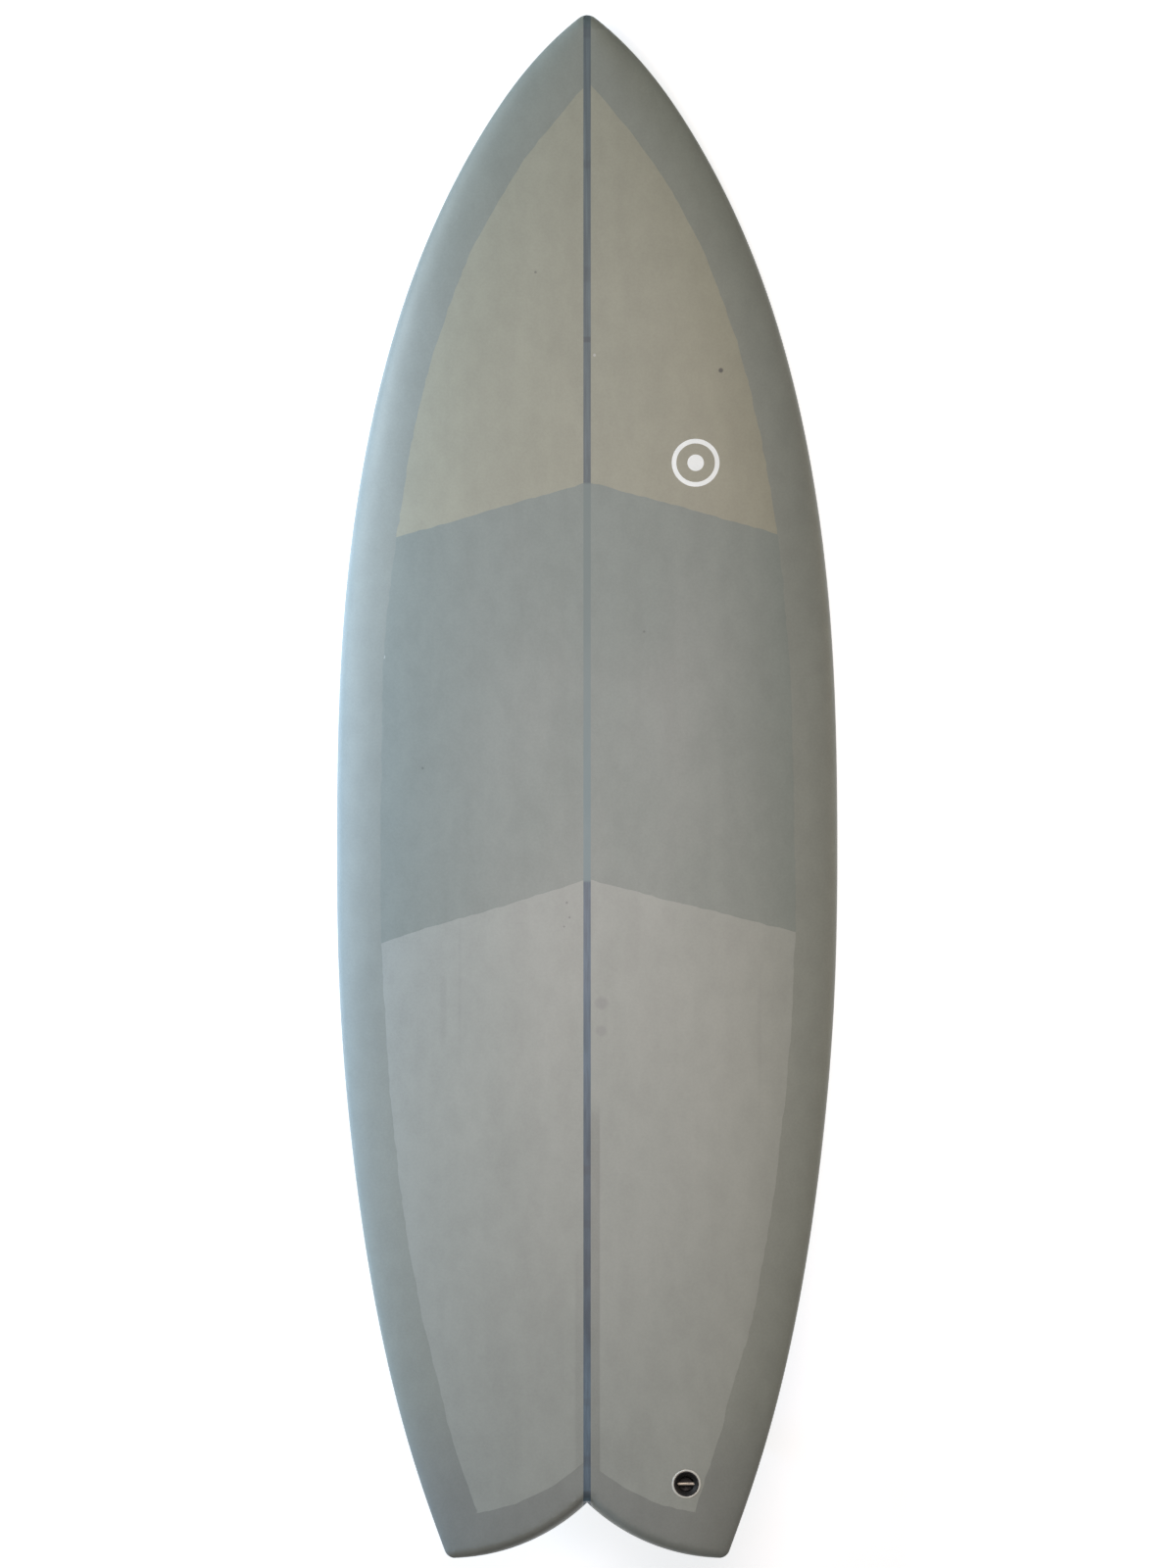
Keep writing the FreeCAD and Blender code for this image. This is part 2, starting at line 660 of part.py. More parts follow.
def blade_section(share, lead):
    """The fin's section at a share of its depth: a flat inner side and a foiled outer side."""
    base, rake, thick = size("fin_base"), size("fin_rake"), size("fin_thickness")
    below = max(0.0, share)
    front = -rake + (base / 2 + rake) * (1 - below**1.3) ** 0.75
    back = -base / 2 + size("fin_hollow") * math.sin(math.pi * below) - (rake - base / 2) * below
    chord, edge = front - back, size("fin_edge") * (1 - 0.5 * below)
    thin = size("fin_tip_thickness")
    deep = thin + (thick - thin) * (1 - below) ** 0.8
    flat, z = thick / 2 - 0.5, share * size("fin_depth")
    outer = []
    for step in range(FOIL_STEPS + 1):
        part = (step / FOIL_STEPS) ** 1.6
        swell = min(1.0, FOIL_BLUNTNESS * math.sqrt(part) * (1 - part) ** 0.9 / FOIL_PEAK)
        depth = (swell + FOIL_FULLNESS * part) * deep * (1 - part) + edge * part
        outer.append(Vector(flat - depth, lead * (front - chord * part), z))
    curve = Part.BSplineCurve()
    curve.interpolate(outer)
    tail = Vector(flat, outer[-1].y, z)
    nose = Vector(flat, outer[0].y, z)
    return Part.Wire([curve.toShape(), Part.makeLine(outer[-1], tail), Part.makeLine(tail, nose)])


def make_fin(side):
    """A keel fin: a foiled blade fitted to the bottom, and two tabs."""
    lead = SIDES[side]
    blade = Part.makeLoft([blade_section(share, lead) for share in BLADE_STATIONS], True)
    blade.Placement = fin_frame(lead)
    blade = blade.cut(hull(-size("fin_gap")))
    length, width, depth = size("tab_length"), size("tab_width"), size("tab_depth")
    for end in ENDS.values():
        corner = Vector(-width / 2, -length / 2, -depth)
        tab = Part.makeBox(width, length, depth + size("tab_root"), corner)
        tab.Placement = plug_frame(lead, end)
        blade = blade.fuse(tab)
    return shaped(f"{side}_fin", blade)


# ---------------------------------------------------------------------------------------------------------
# The board at rest
# ---------------------------------------------------------------------------------------------------------


def resting_placement(fin, outer):
    """Tips the board onto its fin tips and belly, and centres it over the origin, on the floor."""
    fin_points = fin.Shape.tessellate(0.2)[0]
    belly = [Vector(0, y, rocker(y)) for y in range(0, int(size("board_length")), 5)]
    low, high = 0.0, 20.0
    while high - low > 1e-6:
        tilt = (low + high) / 2
        turn = Rotation(X, -tilt)
        fin_low, belly_low = (min(turn.multVec(p).z for p in points) for points in (fin_points, belly))
        low, high = (tilt, high) if fin_low < belly_low else (low, tilt)
    turned = Placement(Vector(), turn)
    boxes = [outer.copy(), fin.Shape.copy()]
    for shape in boxes:
        shape.Placement = turned * shape.Placement
    hull_box, fin_box = (shape.optimalBoundingBox(False) for shape in boxes)
    shift = Vector(0, -(hull_box.YMin + hull_box.YMax) / 2, -min(hull_box.ZMin, fin_box.ZMin))
    return Placement(shift, turn)


def main():
    outer = make_laminations()
    hull_parts = [item for item in doc.Objects if item.TypeId == "Part::Feature"]
    leash_parts = make_leash_plug()
    fin_fittings = make_fin_fittings(outer)
    fins = [make_fin(side) for side in SIDES]
    doc.recompute()

    at_rest = resting_placement(fins[1], outer)
    for item in [*hull_parts, *fin_fittings, *fins]:
        item.Placement = at_rest * item.Placement
    cup, pin, ring = leash_parts
    for item in (cup, ring):
        item.Placement = at_rest * LEASH
    for key in ("Placement.Base.x", "Placement.Base.z"):
        pin.setExpression(key, None)
    pin.Placement = at_rest * LEASH * pin.Placement
    doc.recompute()

    sub_parts = [*hull_parts, cup, pin, ring, *fin_fittings, *fins]
    for item in doc.Objects:
        if {"Invalid", "Error"} & set(item.State):
            raise RuntimeError(f"{item.Label} failed: {item.State}")
    os.makedirs("parts", exist_ok=True)
    for item in sub_parts:
        if item.Shape.isNull() or not item.Shape.isValid():
            raise RuntimeError(f"{item.Label} has no valid shape")
        item.Shape.exportStep(f"parts/{item.Label}.step")
        print(item.Label, len(item.Shape.Solids), "solids", round(item.Shape.Volume / 1000, 2), "cm3")


main()
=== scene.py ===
"""The looks of a fish-tail surfboard, built around its CAD frame.

The board's lines repeat the ones that its CAD solids are drawn from: millimetres, level, +Y from the
tail tips to the nose, +X to the right rail, +Z out of the deck. REST carries them to the row frame, in
metres, where the board rests on its two fin tips and its belly.
"""

import json
import math
import random

import bpy
import numpy as np
from mathutils import Matrix, Vector
from mathutils.geometry import delaunay_2d_cdt
from mathutils.kdtree import KDTree


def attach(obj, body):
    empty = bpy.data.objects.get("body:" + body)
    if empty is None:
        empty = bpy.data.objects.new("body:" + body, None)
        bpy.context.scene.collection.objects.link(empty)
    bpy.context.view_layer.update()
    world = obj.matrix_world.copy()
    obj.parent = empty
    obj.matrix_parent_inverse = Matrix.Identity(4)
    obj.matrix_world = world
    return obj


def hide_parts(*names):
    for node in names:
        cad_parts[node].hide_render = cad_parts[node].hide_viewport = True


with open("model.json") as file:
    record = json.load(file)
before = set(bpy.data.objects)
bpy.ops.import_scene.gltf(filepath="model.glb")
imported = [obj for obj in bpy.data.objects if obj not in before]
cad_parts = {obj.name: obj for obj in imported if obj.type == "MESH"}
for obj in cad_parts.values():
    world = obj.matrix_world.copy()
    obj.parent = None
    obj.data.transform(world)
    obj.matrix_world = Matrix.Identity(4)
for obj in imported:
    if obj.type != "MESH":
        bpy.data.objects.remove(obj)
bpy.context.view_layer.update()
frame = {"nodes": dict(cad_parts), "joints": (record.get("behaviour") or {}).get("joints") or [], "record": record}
scene = bpy.context.scene

# ---- The board's lines, in millimetres

LENGTH = 1676.4
THICKNESS, THICK_STATION = 63.5, 860.0
NOSE_THICKNESS, TAIL_THICKNESS = 9.0, 20.0
NOSE_FOIL_POWER, TAIL_FOIL_POWER = 1.9, 1.7
LOW_STATION, NOSE_ROCKER, TAIL_ROCKER = 720.0, 110.0, 45.0
RAIL_HEIGHT = 0.38
DECK_ROUNDNESS, BOTTOM_ROUNDNESS = 2.4, 8.0
LOBE_RADIUS, LOBE_SPREAD = 217.5, 150.0  # the trailing edges' arcs
TIP_RADIUS = 12.0  # of the tail's corners in plan
DECK_ROLL, BOTTOM_ROLL = 11.0, 3.5  # how the deck and the bottom round over to the trailing edges

# Distance from the tail tips, half width
OUTLINE = [
    (-30.0, 140.5),
    (0.0, 152.0),
    (96.0, 186.0),
    (224.0, 220.3),
    (395.0, 250.0),
    (607.0, 269.7),
    (800.0, 273.05),
    (1033.0, 264.5),
    (1246.0, 232.6),
    (1417.0, 180.6),
    (1544.0, 117.7),
    (1630.0, 55.5),
    (1676.4, 5.0),
]

DECK_LAP, BOTTOM_LAP = 48.0, 30.0
# How much wider the hand-cut laps are on the deck, at distances from the tail tips
LAP_DRIFT = {
    "left": [(0, 0), (1440, 0), (1490, 4), (1545, 6), (1600, 12)],
    "right": [
        (0, 3), (90, 3), (165, 4), (205, 2), (246, -2), (700, -2), (850, 0), (1440, 0), (1500, 3), (1600, 9)
    ],
}
LAMINATE, FOAM_INSET = 1.1, 2.3  # the skins' thickness, and how deep the foam lies
STRINGER_WIDTH = 8.0
PATCH_FRONT, PATCH_REAR = 1171.0, 739.0
SIDES = {"left": -1, "right": 1}
FRONT_FALL = {"left": 0.286, "right": 0.267}  # how far the patch's edges fall from the stringer to the laps
REAR_FALL = {"left": 0.311, "right": 0.256}

DECAL = Vector((118.0, 1192.0))
DECAL_RADIUS, DECAL_LINE, DECAL_DISC = 26.0, 5.0, 9.0

LEASH = Vector((108.1, 80.9))
CUP_RADIUS, CUP_MOUTH, CUP_CAVITY = 13.65, 12.0, 8.5
CUP_FUNNEL_DEPTH, CUP_CAVITY_DEPTH, CUP_DEPTH = 3.2, 13.0, 15.0
CUP_LIP = 0.2  # how far the cup stands out of the deck
RING_WIDTH, RING_BULGE = 2.4, 0.35
PIN_RADIUS, PIN_DEPTH, PIN_LENGTH = 1.8, 4.6, 22.0

FIN_STATION, FIN_OFFSET = 222.0, 158.0
FIN_CANT, FIN_TOE_IN = math.radians(6.0), math.radians(2.0)
FIN_BASE, FIN_DEPTH, FIN_THICKNESS, FIN_RAKE = 165.0, 128.0, 9.0, 88.0
FIN_GAP, FIN_EDGE, FIN_TIP_THICKNESS = 0.4, 1.0, 1.6
FIN_SWEEP = 14.0  # how far a fin's trailing edge curves in behind its base
TAB_SPACING, TAB_LENGTH, TAB_WIDTH, TAB_DEPTH = 72.0, 22.0, 6.3, 12.5
TAB_ROOT, TAB_ROUND = 1.5, 0.8  # how far the tabs reach into the blade, and how round their edges are
PLUG_LENGTH, PLUG_WIDTH, PLUG_DEPTH, POT_WALL = 36.0, 26.0, 15.0, 2.0
# The sheets' points: their spacing round the board in degrees and along it, and how near they may lie
COLUMN_STEP, ROW_STEP, NEAREST = 2.6, 8.5, 2.2
# A hand-cut line's wander: the spacing of its leans and how far they reach
WANDER = ((90.0, 0.9), (26.0, 0.6), (7.0, 0.75))
SHARP_ANGLE = math.radians(38)


def spline_through(points, count):
    """Evenly spread points on the smooth cubic spline through points, by chord length."""
    known = np.array(points, float)
    at = np.concatenate([[0], np.cumsum(np.linalg.norm(np.diff(known, axis=0), axis=1))])
    step = np.diff(at)
    last = len(known) - 1
    system, target = np.zeros((last + 1, last + 1)), np.zeros((last + 1, 2))
    rise = np.diff(known, axis=0)
    for i in range(1, last):
        system[i, i - 1 : i + 2] = 1 / step[i - 1], 2 / step[i - 1] + 2 / step[i], 1 / step[i]
        target[i] = 3 * (rise[i - 1] / step[i - 1] ** 2 + rise[i] / step[i] ** 2)
    system[0, 0] = system[last, last] = 1
    target[0] = np.polyfit(at[:4] - at[0], known[:4], 3)[-2]
    target[last] = np.polyfit(at[-4:] - at[-1], known[-4:], 3)[-2]
    slope = np.linalg.solve(system, target)
    wanted = np.linspace(0, at[-1], count)
    span = np.clip(np.searchsorted(at, wanted, side="right") - 1, 0, last - 1)
    share = ((wanted - at[span]) / step[span])[:, None]
    width = step[span][:, None]
    return (
        (1 + 2 * share) * (1 - share) ** 2 * known[span]
        + share * (1 - share) ** 2 * width * slope[span]
        + share**2 * (3 - 2 * share) * known[span + 1]
        + share**2 * (share - 1) * width * slope[span + 1]
    )


RIM = spline_through([(x, y) for y, x in OUTLINE], 3000)


def rim_x(y):
    return np.interp(y, RIM[:, 1], RIM[:, 0])


def nose_arc():
    """The nose's round end: its radius, its centre and where it meets the rails, tangent to both."""
    radius = TIP_RADIUS
    for _ in range(60):
        centre = LENGTH - radius
        away = np.hypot(RIM[:, 0], RIM[:, 1] - centre)
        radius += (np.min(away) - radius) * 0.9
    return centre, radius, int(np.argmin(away))


def tip_arc():
    """The right tail tip's round corner: its centre and the lean of the rail where it meets it."""
    lean = math.atan((rim_x(TIP_RADIUS + 1) - rim_x(TIP_RADIUS - 1)) / 2)
    return Vector((rim_x(TIP_RADIUS) - TIP_RADIUS / math.cos(lean), TIP_RADIUS)), lean


NOSE_CENTRE, NOSE_RADIUS, NOSE_TOUCH = nose_arc()
TIP_CENTRE, TIP_LEAN = tip_arc()
# Where the stringer's right side reaches the nose and the tail's edge, and where the crotch is, as turns
# round their arcs
WOOD_AT_NOSE = math.acos(STRINGER_WIDTH / 2 / NOSE_RADIUS)
WOOD_AT_TAIL = -math.acos((STRINGER_WIDTH / 2 - LOBE_SPREAD) / LOBE_RADIUS)
CROTCH = -math.acos(-LOBE_SPREAD / LOBE_RADIUS)


def half_width(y):
    """Half width of the outline at y, round ends included."""
    y = np.asarray(y, float)
    nose = np.sqrt(np.maximum(NOSE_RADIUS**2 - (y - NOSE_CENTRE) ** 2, 0))
    tip = TIP_CENTRE.x + np.sqrt(np.maximum(TIP_RADIUS**2 - np.minimum(y - TIP_RADIUS, 0) ** 2, 0))
    width = np.where(y > RIM[NOSE_TOUCH, 1], nose, rim_x(y))
    width = np.where(y < TIP_RADIUS * (1 - math.sin(TIP_LEAN)), tip, width)
    return np.maximum(width, 1e-3)


def trailing_edge(x):
    """The swallow tail's edge: how far ahead of the tips it is at x."""
    return LOBE_RADIUS - np.sqrt(LOBE_RADIUS**2 - (LOBE_SPREAD - np.abs(x)) ** 2)


def rocker(y):
    """Height of the bottom on the centre line."""
    ahead = np.maximum(y - LOW_STATION, 0) / (LENGTH - LOW_STATION)
    behind = np.maximum(LOW_STATION - y, 0) / LOW_STATION
    return NOSE_ROCKER * ahead**2 + TAIL_ROCKER * behind**2


def thickness(y):
    """Thickness on the centre line."""
    ahead = np.maximum(y - THICK_STATION, 0) / (LENGTH - THICK_STATION)
    behind = np.maximum(THICK_STATION - y, 0) / THICK_STATION
    nose = (THICKNESS - NOSE_THICKNESS) * ahead**NOSE_FOIL_POWER
    return THICKNESS - nose - (THICKNESS - TAIL_THICKNESS) * behind**TAIL_FOIL_POWER


def quarter(share):
    """Height of a quarter circle of radius 1, at a share of the way in from its low end."""
    return np.sqrt(np.maximum(1 - (1 - np.clip(share, 0, 1)) ** 2, 0))


def height(x, y, deck):
    """Height of the deck or the bottom."""
    x, y = np.abs(np.asarray(x, float)), np.asarray(y, float)
    base, thick = rocker(y), thickness(y)
    apex = base + thick * RAIL_HEIGHT
    power = DECK_ROUNDNESS if deck else BOTTOM_ROUNDNESS
    across = np.sqrt(np.maximum(1 - np.minimum(x / half_width(y), 1) ** power, 0))
    from_edge = np.where(y < LOBE_RADIUS, LOBE_RADIUS - np.hypot(x - LOBE_SPREAD, y - LOBE_RADIUS), LENGTH)
    tail = quarter(from_edge / (DECK_ROLL if deck else BOTTOM_ROLL))
    nose = quarter((NOSE_CENTRE + NOSE_RADIUS - y) / NOSE_RADIUS)
    surface = base + thick if deck else base
    return apex + (surface - apex) * across * tail * nose


def bottom_slope(y):
    return float(rocker(y + 1) - rocker(y - 1)) / 2


# ---- Placements: fittings in the board's frame, and the board in the row frame


def axes(x, y, z, origin):
    """A matrix with these axes and this origin."""
    return Matrix.Translation(origin) @ Matrix((x, y, z)).transposed().to_4x4()


def fin_frame(side):
    """The middle of a fin's base: Z out of the board along the fin, X towards the stringer."""
    slope = bottom_slope(FIN_STATION)
    down = Vector((0, slope, -1)).normalized() * math.cos(FIN_CANT)
    down += Vector((side * math.sin(FIN_CANT), 0, 0))
    ahead = Vector((-side * math.sin(FIN_TOE_IN), math.cos(FIN_TOE_IN), slope)) * side
    across = ahead.cross(down).normalized()
    foot = Vector((side * FIN_OFFSET, FIN_STATION, float(height(FIN_OFFSET, FIN_STATION, False))))
    return axes(across, down.cross(across), down, foot)


def leash_frame():
    """The middle of the leash plug, with Z square to the deck."""
    reach = 5.0

    def on_deck(x, y):
        return Vector((LEASH.x + x, LEASH.y + y, float(height(LEASH.x + x, LEASH.y + y, True))))

    across = (on_deck(reach, 0) - on_deck(-reach, 0)).normalized()
    out = across.cross(on_deck(0, reach) - on_deck(0, -reach)).normalized()
    return axes(across, out.cross(across), out, on_deck(0, 0))


def rest_matrix():
    """From the board's own frame, level and in mm, to the row frame."""
    slide = next(joint for joint in frame["joints"] if joint["name"] == "right_fin_slide")
    _, along, up = slide["axis"]
    turn = Matrix.Rotation(math.atan2(along, -up) - math.atan(bottom_slope(FIN_STATION)), 4, "X")
    scale = Matrix.Scale(0.001, 4)
    pin = Vector(frame["record"]["mounts"][0]["pos_m"])
    drawn = turn @ scale @ leash_frame() @ Vector((0, 0, -PIN_DEPTH))
    return Matrix.Translation(pin - drawn) @ turn @ scale


REST = rest_matrix()


def moved(matrix, points):
    grid = np.array(matrix)
    return np.asarray(points, float) @ grid[:3, :3].T + grid[:3, 3]


# Where the tail tips lie along the row frame's Y, in metres
TAIL_AT = float(moved(REST, [(0, 0, 0)])[0][1])


# ---- Materials


class Shader:
    """A node material, built with short calls."""

    def __init__(self, name):
        self.material = bpy.data.materials.new(name)
        self.material.use_nodes = True
        self.nodes, self.links = self.material.node_tree.nodes, self.material.node_tree.links
        self.surface = self.nodes["Principled BSDF"]
        self.place = self.nodes.new("ShaderNodeTexCoord").outputs["Object"]

    def join(self, socket, value):
        """Sets a socket, or links it when the value is another node's output."""
        if isinstance(value, bpy.types.NodeSocket):
            self.links.new(value, socket)
        else:
            socket.default_value = value

    def add(self, kind, sockets=(), **settings):
        """A node's outputs, with values or links on its sockets, by name or by number."""
        node = self.nodes.new(f"ShaderNode{kind}")
        for key, value in settings.items():
            setattr(node, key, value)
        for key, value in dict(sockets).items():
            self.join(node.inputs[key], value)
        return node.outputs

    def math(self, operation, *values):
        return self.add("Math", enumerate(values), operation=operation)[0]

    def times(self, first, second):
        return self.math("MULTIPLY", first, second)

    def stretched(self, scale):
        return self.add("Mapping", {"Vector": self.place, "Scale": scale})[0]

    def noise(self, scale, stretch=(1, 1, 1), detail=3.0, roughness=0.5):
        place = self.stretched(stretch)
        sockets = {"Vector": place, "Scale": scale, "Detail": detail, "Roughness": roughness}
        return self.add("TexNoise", sockets)["Fac"]

    def cells(self, scale):
        return self.add("TexVoronoi", {"Vector": self.place, "Scale": scale})

    def ramp(self, value, low, high, to_low=0.0, to_high=1.0):
        """The value carried smoothly from low..high to to_low..to_high."""
        sockets = enumerate((value, low, high, to_low, to_high))
        return self.add("MapRange", sockets, interpolation_type="SMOOTHSTEP")[0]

    def mix(self, factor, first, second, blend="MIX"):
        first, second = (
            colour if isinstance(colour, bpy.types.NodeSocket) else (*colour, 1.0)
            for colour in (first, second)
        )
        sockets = {"Factor": factor, 6: first, 7: second}
        return self.add("Mix", sockets, data_type="RGBA", blend_type=blend)[2]

    def shade(self, colour, amount):
        """The colour times a grey amount."""
        return self.add("VectorMath", {0: colour, "Scale": amount}, operation="SCALE")[0]

    def specks(self, scale, radius, share):
        """1 inside small spots of that radius in metres, at a share of the cells of a grid of that scale."""
        cells = self.cells(scale)
        near = self.ramp(cells["Distance"], radius * scale * 0.5, radius * scale, 1.0, 0.0)
        chance = self.add("SeparateColor", {0: cells["Color"]})[0]
        return self.times(near, self.math("LESS_THAN", chance, share))

    def across(self):
        """Distance from the stringer towards the right, in metres."""
        return self.add("SeparateXYZ", {0: self.place})[0]

    def along(self):
        """Distance from the tail tips, in metres."""
        return self.math("SUBTRACT", self.add("SeparateXYZ", {0: self.place})[1], TAIL_AT)

    def spot(self, x, y, radius):
        """1 within a soft-edged round mark at that place on the board, in mm."""
        here = self.add("CombineXYZ", {0: self.across(), 1: self.along()})[0]
        there = (x / 1000, y / 1000, 0)
        away = self.add("VectorMath", {0: here, 1: there}, operation="DISTANCE")["Value"]
        return self.ramp(away, radius * 0.0006, radius * 0.0013, 1.0, 0.0)

    def strip(self, value, start, stop, soft):
        """1 where the value, in metres, lies between start and stop in mm."""
        rise = self.ramp(value, (start - soft) / 1000, (start + soft) / 1000)
        fall = self.ramp(value, (stop - soft) / 1000, (stop + soft) / 1000, 1.0, 0.0)
        return self.times(rise, fall)

    def bump(self, value, depth, strength=1.0, below=None):
        sockets = {"Strength": strength, "Distance": depth, "Height": value}
        if below is not None:
            sockets["Normal"] = below
        return self.add("Bump", sockets)[0]

    def finish(self, colour, roughness, normal=None, **fixed):
        fixed |= {"Base_Color": colour, "Roughness": roughness}
        if normal is not None:
            fixed["Normal"] = normal
        for key, value in fixed.items():
            self.join(self.surface.inputs[key.replace("_", " ")], value)
        return self.material


def sanded(shader):
    """The satin of a sanded hot coat: its roughness and its bumps."""
    cloudy = shader.noise(7.0, (1.0, 0.5, 1.0), 4.0)
    fine = shader.noise(160.0, (1.0, 0.35, 1.0), 3.0)
    roughness = shader.math("ADD", shader.ramp(cloudy, 0.3, 0.7, 0.36, 0.44), shader.times(fine, 0.05))
    peel = shader.bump(shader.noise(38.0, detail=2.0), 0.0004, 0.25)
    return roughness, shader.bump(fine, 0.00006, 0.5, peel)


def glass(name, colour, streaks, grime=(), marks=(), ends=()):
    """Tinted laminate under a sanded coat: clouded, streaked along the board and speckled.

    Grime lists strips: where across and along the board they start and stop, how soft their edges are, and
    how dark. Marks lists spots: their place, radius, colour and strength. Both are in mm. Ends lists painted
    shade, where the light falls off towards the tail and the nose: the stations in metres that the tint
    darkens between, and by what.
    """
    shader = Shader(name)
    clouds = shader.ramp(shader.noise(3.2, (1.0, 0.45, 1.0), 5.0, 0.6), 0.3, 0.7, 0.965, 1.03)
    drawn = shader.noise(34.0, (1.0, 0.035, 1.0), 3.0)
    drawn = shader.ramp(drawn, 0.25, 0.75, 1 - streaks, 1 + streaks * 0.6)
    grain = shader.ramp(shader.noise(420.0, detail=2.0), 0.3, 0.7, 0.975, 1.025)
    mottle = shader.ramp(shader.noise(48.0, (1.0, 0.6, 1.0), 5.0, 0.6), 0.3, 0.7, 0.965, 1.035)
    broad, close = shader.times(clouds, drawn), shader.times(grain, mottle)
    tint = shader.shade(colour, shader.times(broad, close))
    warm = shader.times(shader.ramp(shader.noise(1.9, (1.0, 0.6, 1.0), 3.0), 0.35, 0.65), 0.5)
    tint = shader.mix(warm, tint, shader.mix(1.0, tint, (1.03, 1.0, 0.96), "MULTIPLY"))
    # Painted shade: the tint darkens towards the tail and the nose, where the light falls off.
    for (pale, deep), tone in ends:
        share = shader.ramp(shader.math("ABSOLUTE", shader.along()), *sorted((pale, deep)))
        toned = shader.mix(1.0, tint, tone, "MULTIPLY")
        tint = shader.mix(share, tint, toned) if pale < deep else shader.mix(share, toned, tint)
    patchy = shader.ramp(shader.noise(26.0, (1.0, 0.25, 1.0), 4.0), 0.3, 0.55, 0.55, 1.0)
    for width, length, depth in grime:
        across = shader.strip(shader.across(), *width)
        along = shader.strip(shader.along(), *length)
        where = shader.times(shader.times(across, along), patchy)
        tint = shader.shade(tint, shader.ramp(where, 0.0, 1.0, 1.0, 1.0 - depth))
    for x, y, radius, mark, strength in marks:
        tint = shader.mix(shader.times(shader.spot(x, y, radius), strength), tint, mark)
    tint = shader.mix(shader.times(shader.specks(11.0, 0.0009, 0.16), 0.4), tint, DARK_SPECK)
    tint = shader.mix(shader.times(shader.specks(4.3, 0.0010, 0.14), 0.45), tint, PALE_SPECK)
    return shader.finish(tint, *sanded(shader), IOR=RESIN_IOR)


def stringer_wood(name, veil_depth):
    """Dark grained wood under the glass, veiled where the deck patch covers it."""
    shader = Shader(name)
    along = shader.along()
    grain = shader.ramp(shader.noise(300.0, (1.0, 0.02, 1.0), 4.0), 0.3, 0.7, 0.85, 1.12)
    blotches = shader.ramp(shader.noise(30.0, (1.0, 0.6, 1.0), 3.0), 0.35, 0.68, 0.92, 1.06)
    wood = shader.mix(shader.ramp(along, 0.7, 1.2), (0.094, 0.149, 0.186), (0.122, 0.160, 0.164))
    wood = shader.shade(wood, shader.times(grain, blotches))
    wood = shader.shade(wood, shader.ramp(shader.strip(along, 225, 480, 60), 0.0, 1.0, 1.0, 0.69))
    for station, reach, depth in KNOTS:
        away = shader.math("ABSOLUTE", shader.math("SUBTRACT", along, station / 1000))
        wood = shader.mix(shader.ramp(away, reach * 0.0006, reach * 0.0014, depth, 0.0), wood, DARK_SPECK)
    veil = shader.strip(along, PATCH_REAR, PATCH_FRONT, 2.0)
    veiled = shader.mix(shader.ramp(along, 0.75, 1.1), (0.170, 0.248, 0.246), (0.182, 0.233, 0.214))
    colour = shader.mix(shader.times(veil, veil_depth), wood, veiled)
    return shader.finish(colour, *sanded(shader), IOR=RESIN_IOR)


def plain(name, colour, roughness, variation=0.06, scale=60.0, depth=0.00005, **fixed):
    """A moulded, cast or machined surface: one colour, slightly clouded, with fine bumps."""
    shader = Shader(name)
    tint = shader.shade(colour, shader.ramp(shader.noise(scale), 0.3, 0.7, 1 - variation, 1 + variation))
    rough = shader.ramp(shader.noise(scale * 1.7), 0.3, 0.7, roughness * 0.85, min(1.0, roughness * 1.15))
    return shader.finish(tint, rough, shader.bump(shader.noise(scale * 9), depth), **fixed)


def fin_laminate():
    """Smoky fibreglass: woven cloth under clear resin."""
    shader = Shader("fin_laminate")
    weave = None
    for stretch in ((1.0, 0.0, 0.4), (0.0, 1.0, 0.4)):
        sockets = {"Vector": shader.stretched(stretch), "Scale": 160.0, "Distortion": 1.2, "Detail": 1.0}
        threads = shader.add("TexWave", sockets, wave_type="BANDS", bands_direction="DIAGONAL")["Fac"]
        weave = threads if weave is None else shader.times(weave, threads)
    clouds = shader.ramp(shader.noise(14.0), 0.3, 0.7, 0.85, 1.15)
    shine = shader.ramp(weave, 0.0, 0.8, 0.85, 1.3)
    tint = shader.shade((0.05, 0.056, 0.06), shader.times(clouds, shine))
    rough = shader.ramp(shader.noise(30.0), 0.3, 0.7, 0.2, 0.3)
    return shader.finish(tint, rough, shader.bump(weave, 0.00005), IOR=RESIN_IOR)


def foam():
    """The blank's fine closed cells."""
    shader = Shader("foam_blank")
    cells = shader.cells(900.0)["Distance"]
    tint = shader.shade((0.82, 0.8, 0.72), shader.ramp(cells, 0.0, 0.8, 0.93, 1.02))
    return shader.finish(tint, 0.85, shader.bump(cells, 0.0002))


RESIN_IOR = 1.5
DARK_SPECK, PALE_SPECK, SMUDGE = (0.05, 0.055, 0.06), (0.62, 0.63, 0.60), (0.19, 0.20, 0.20)
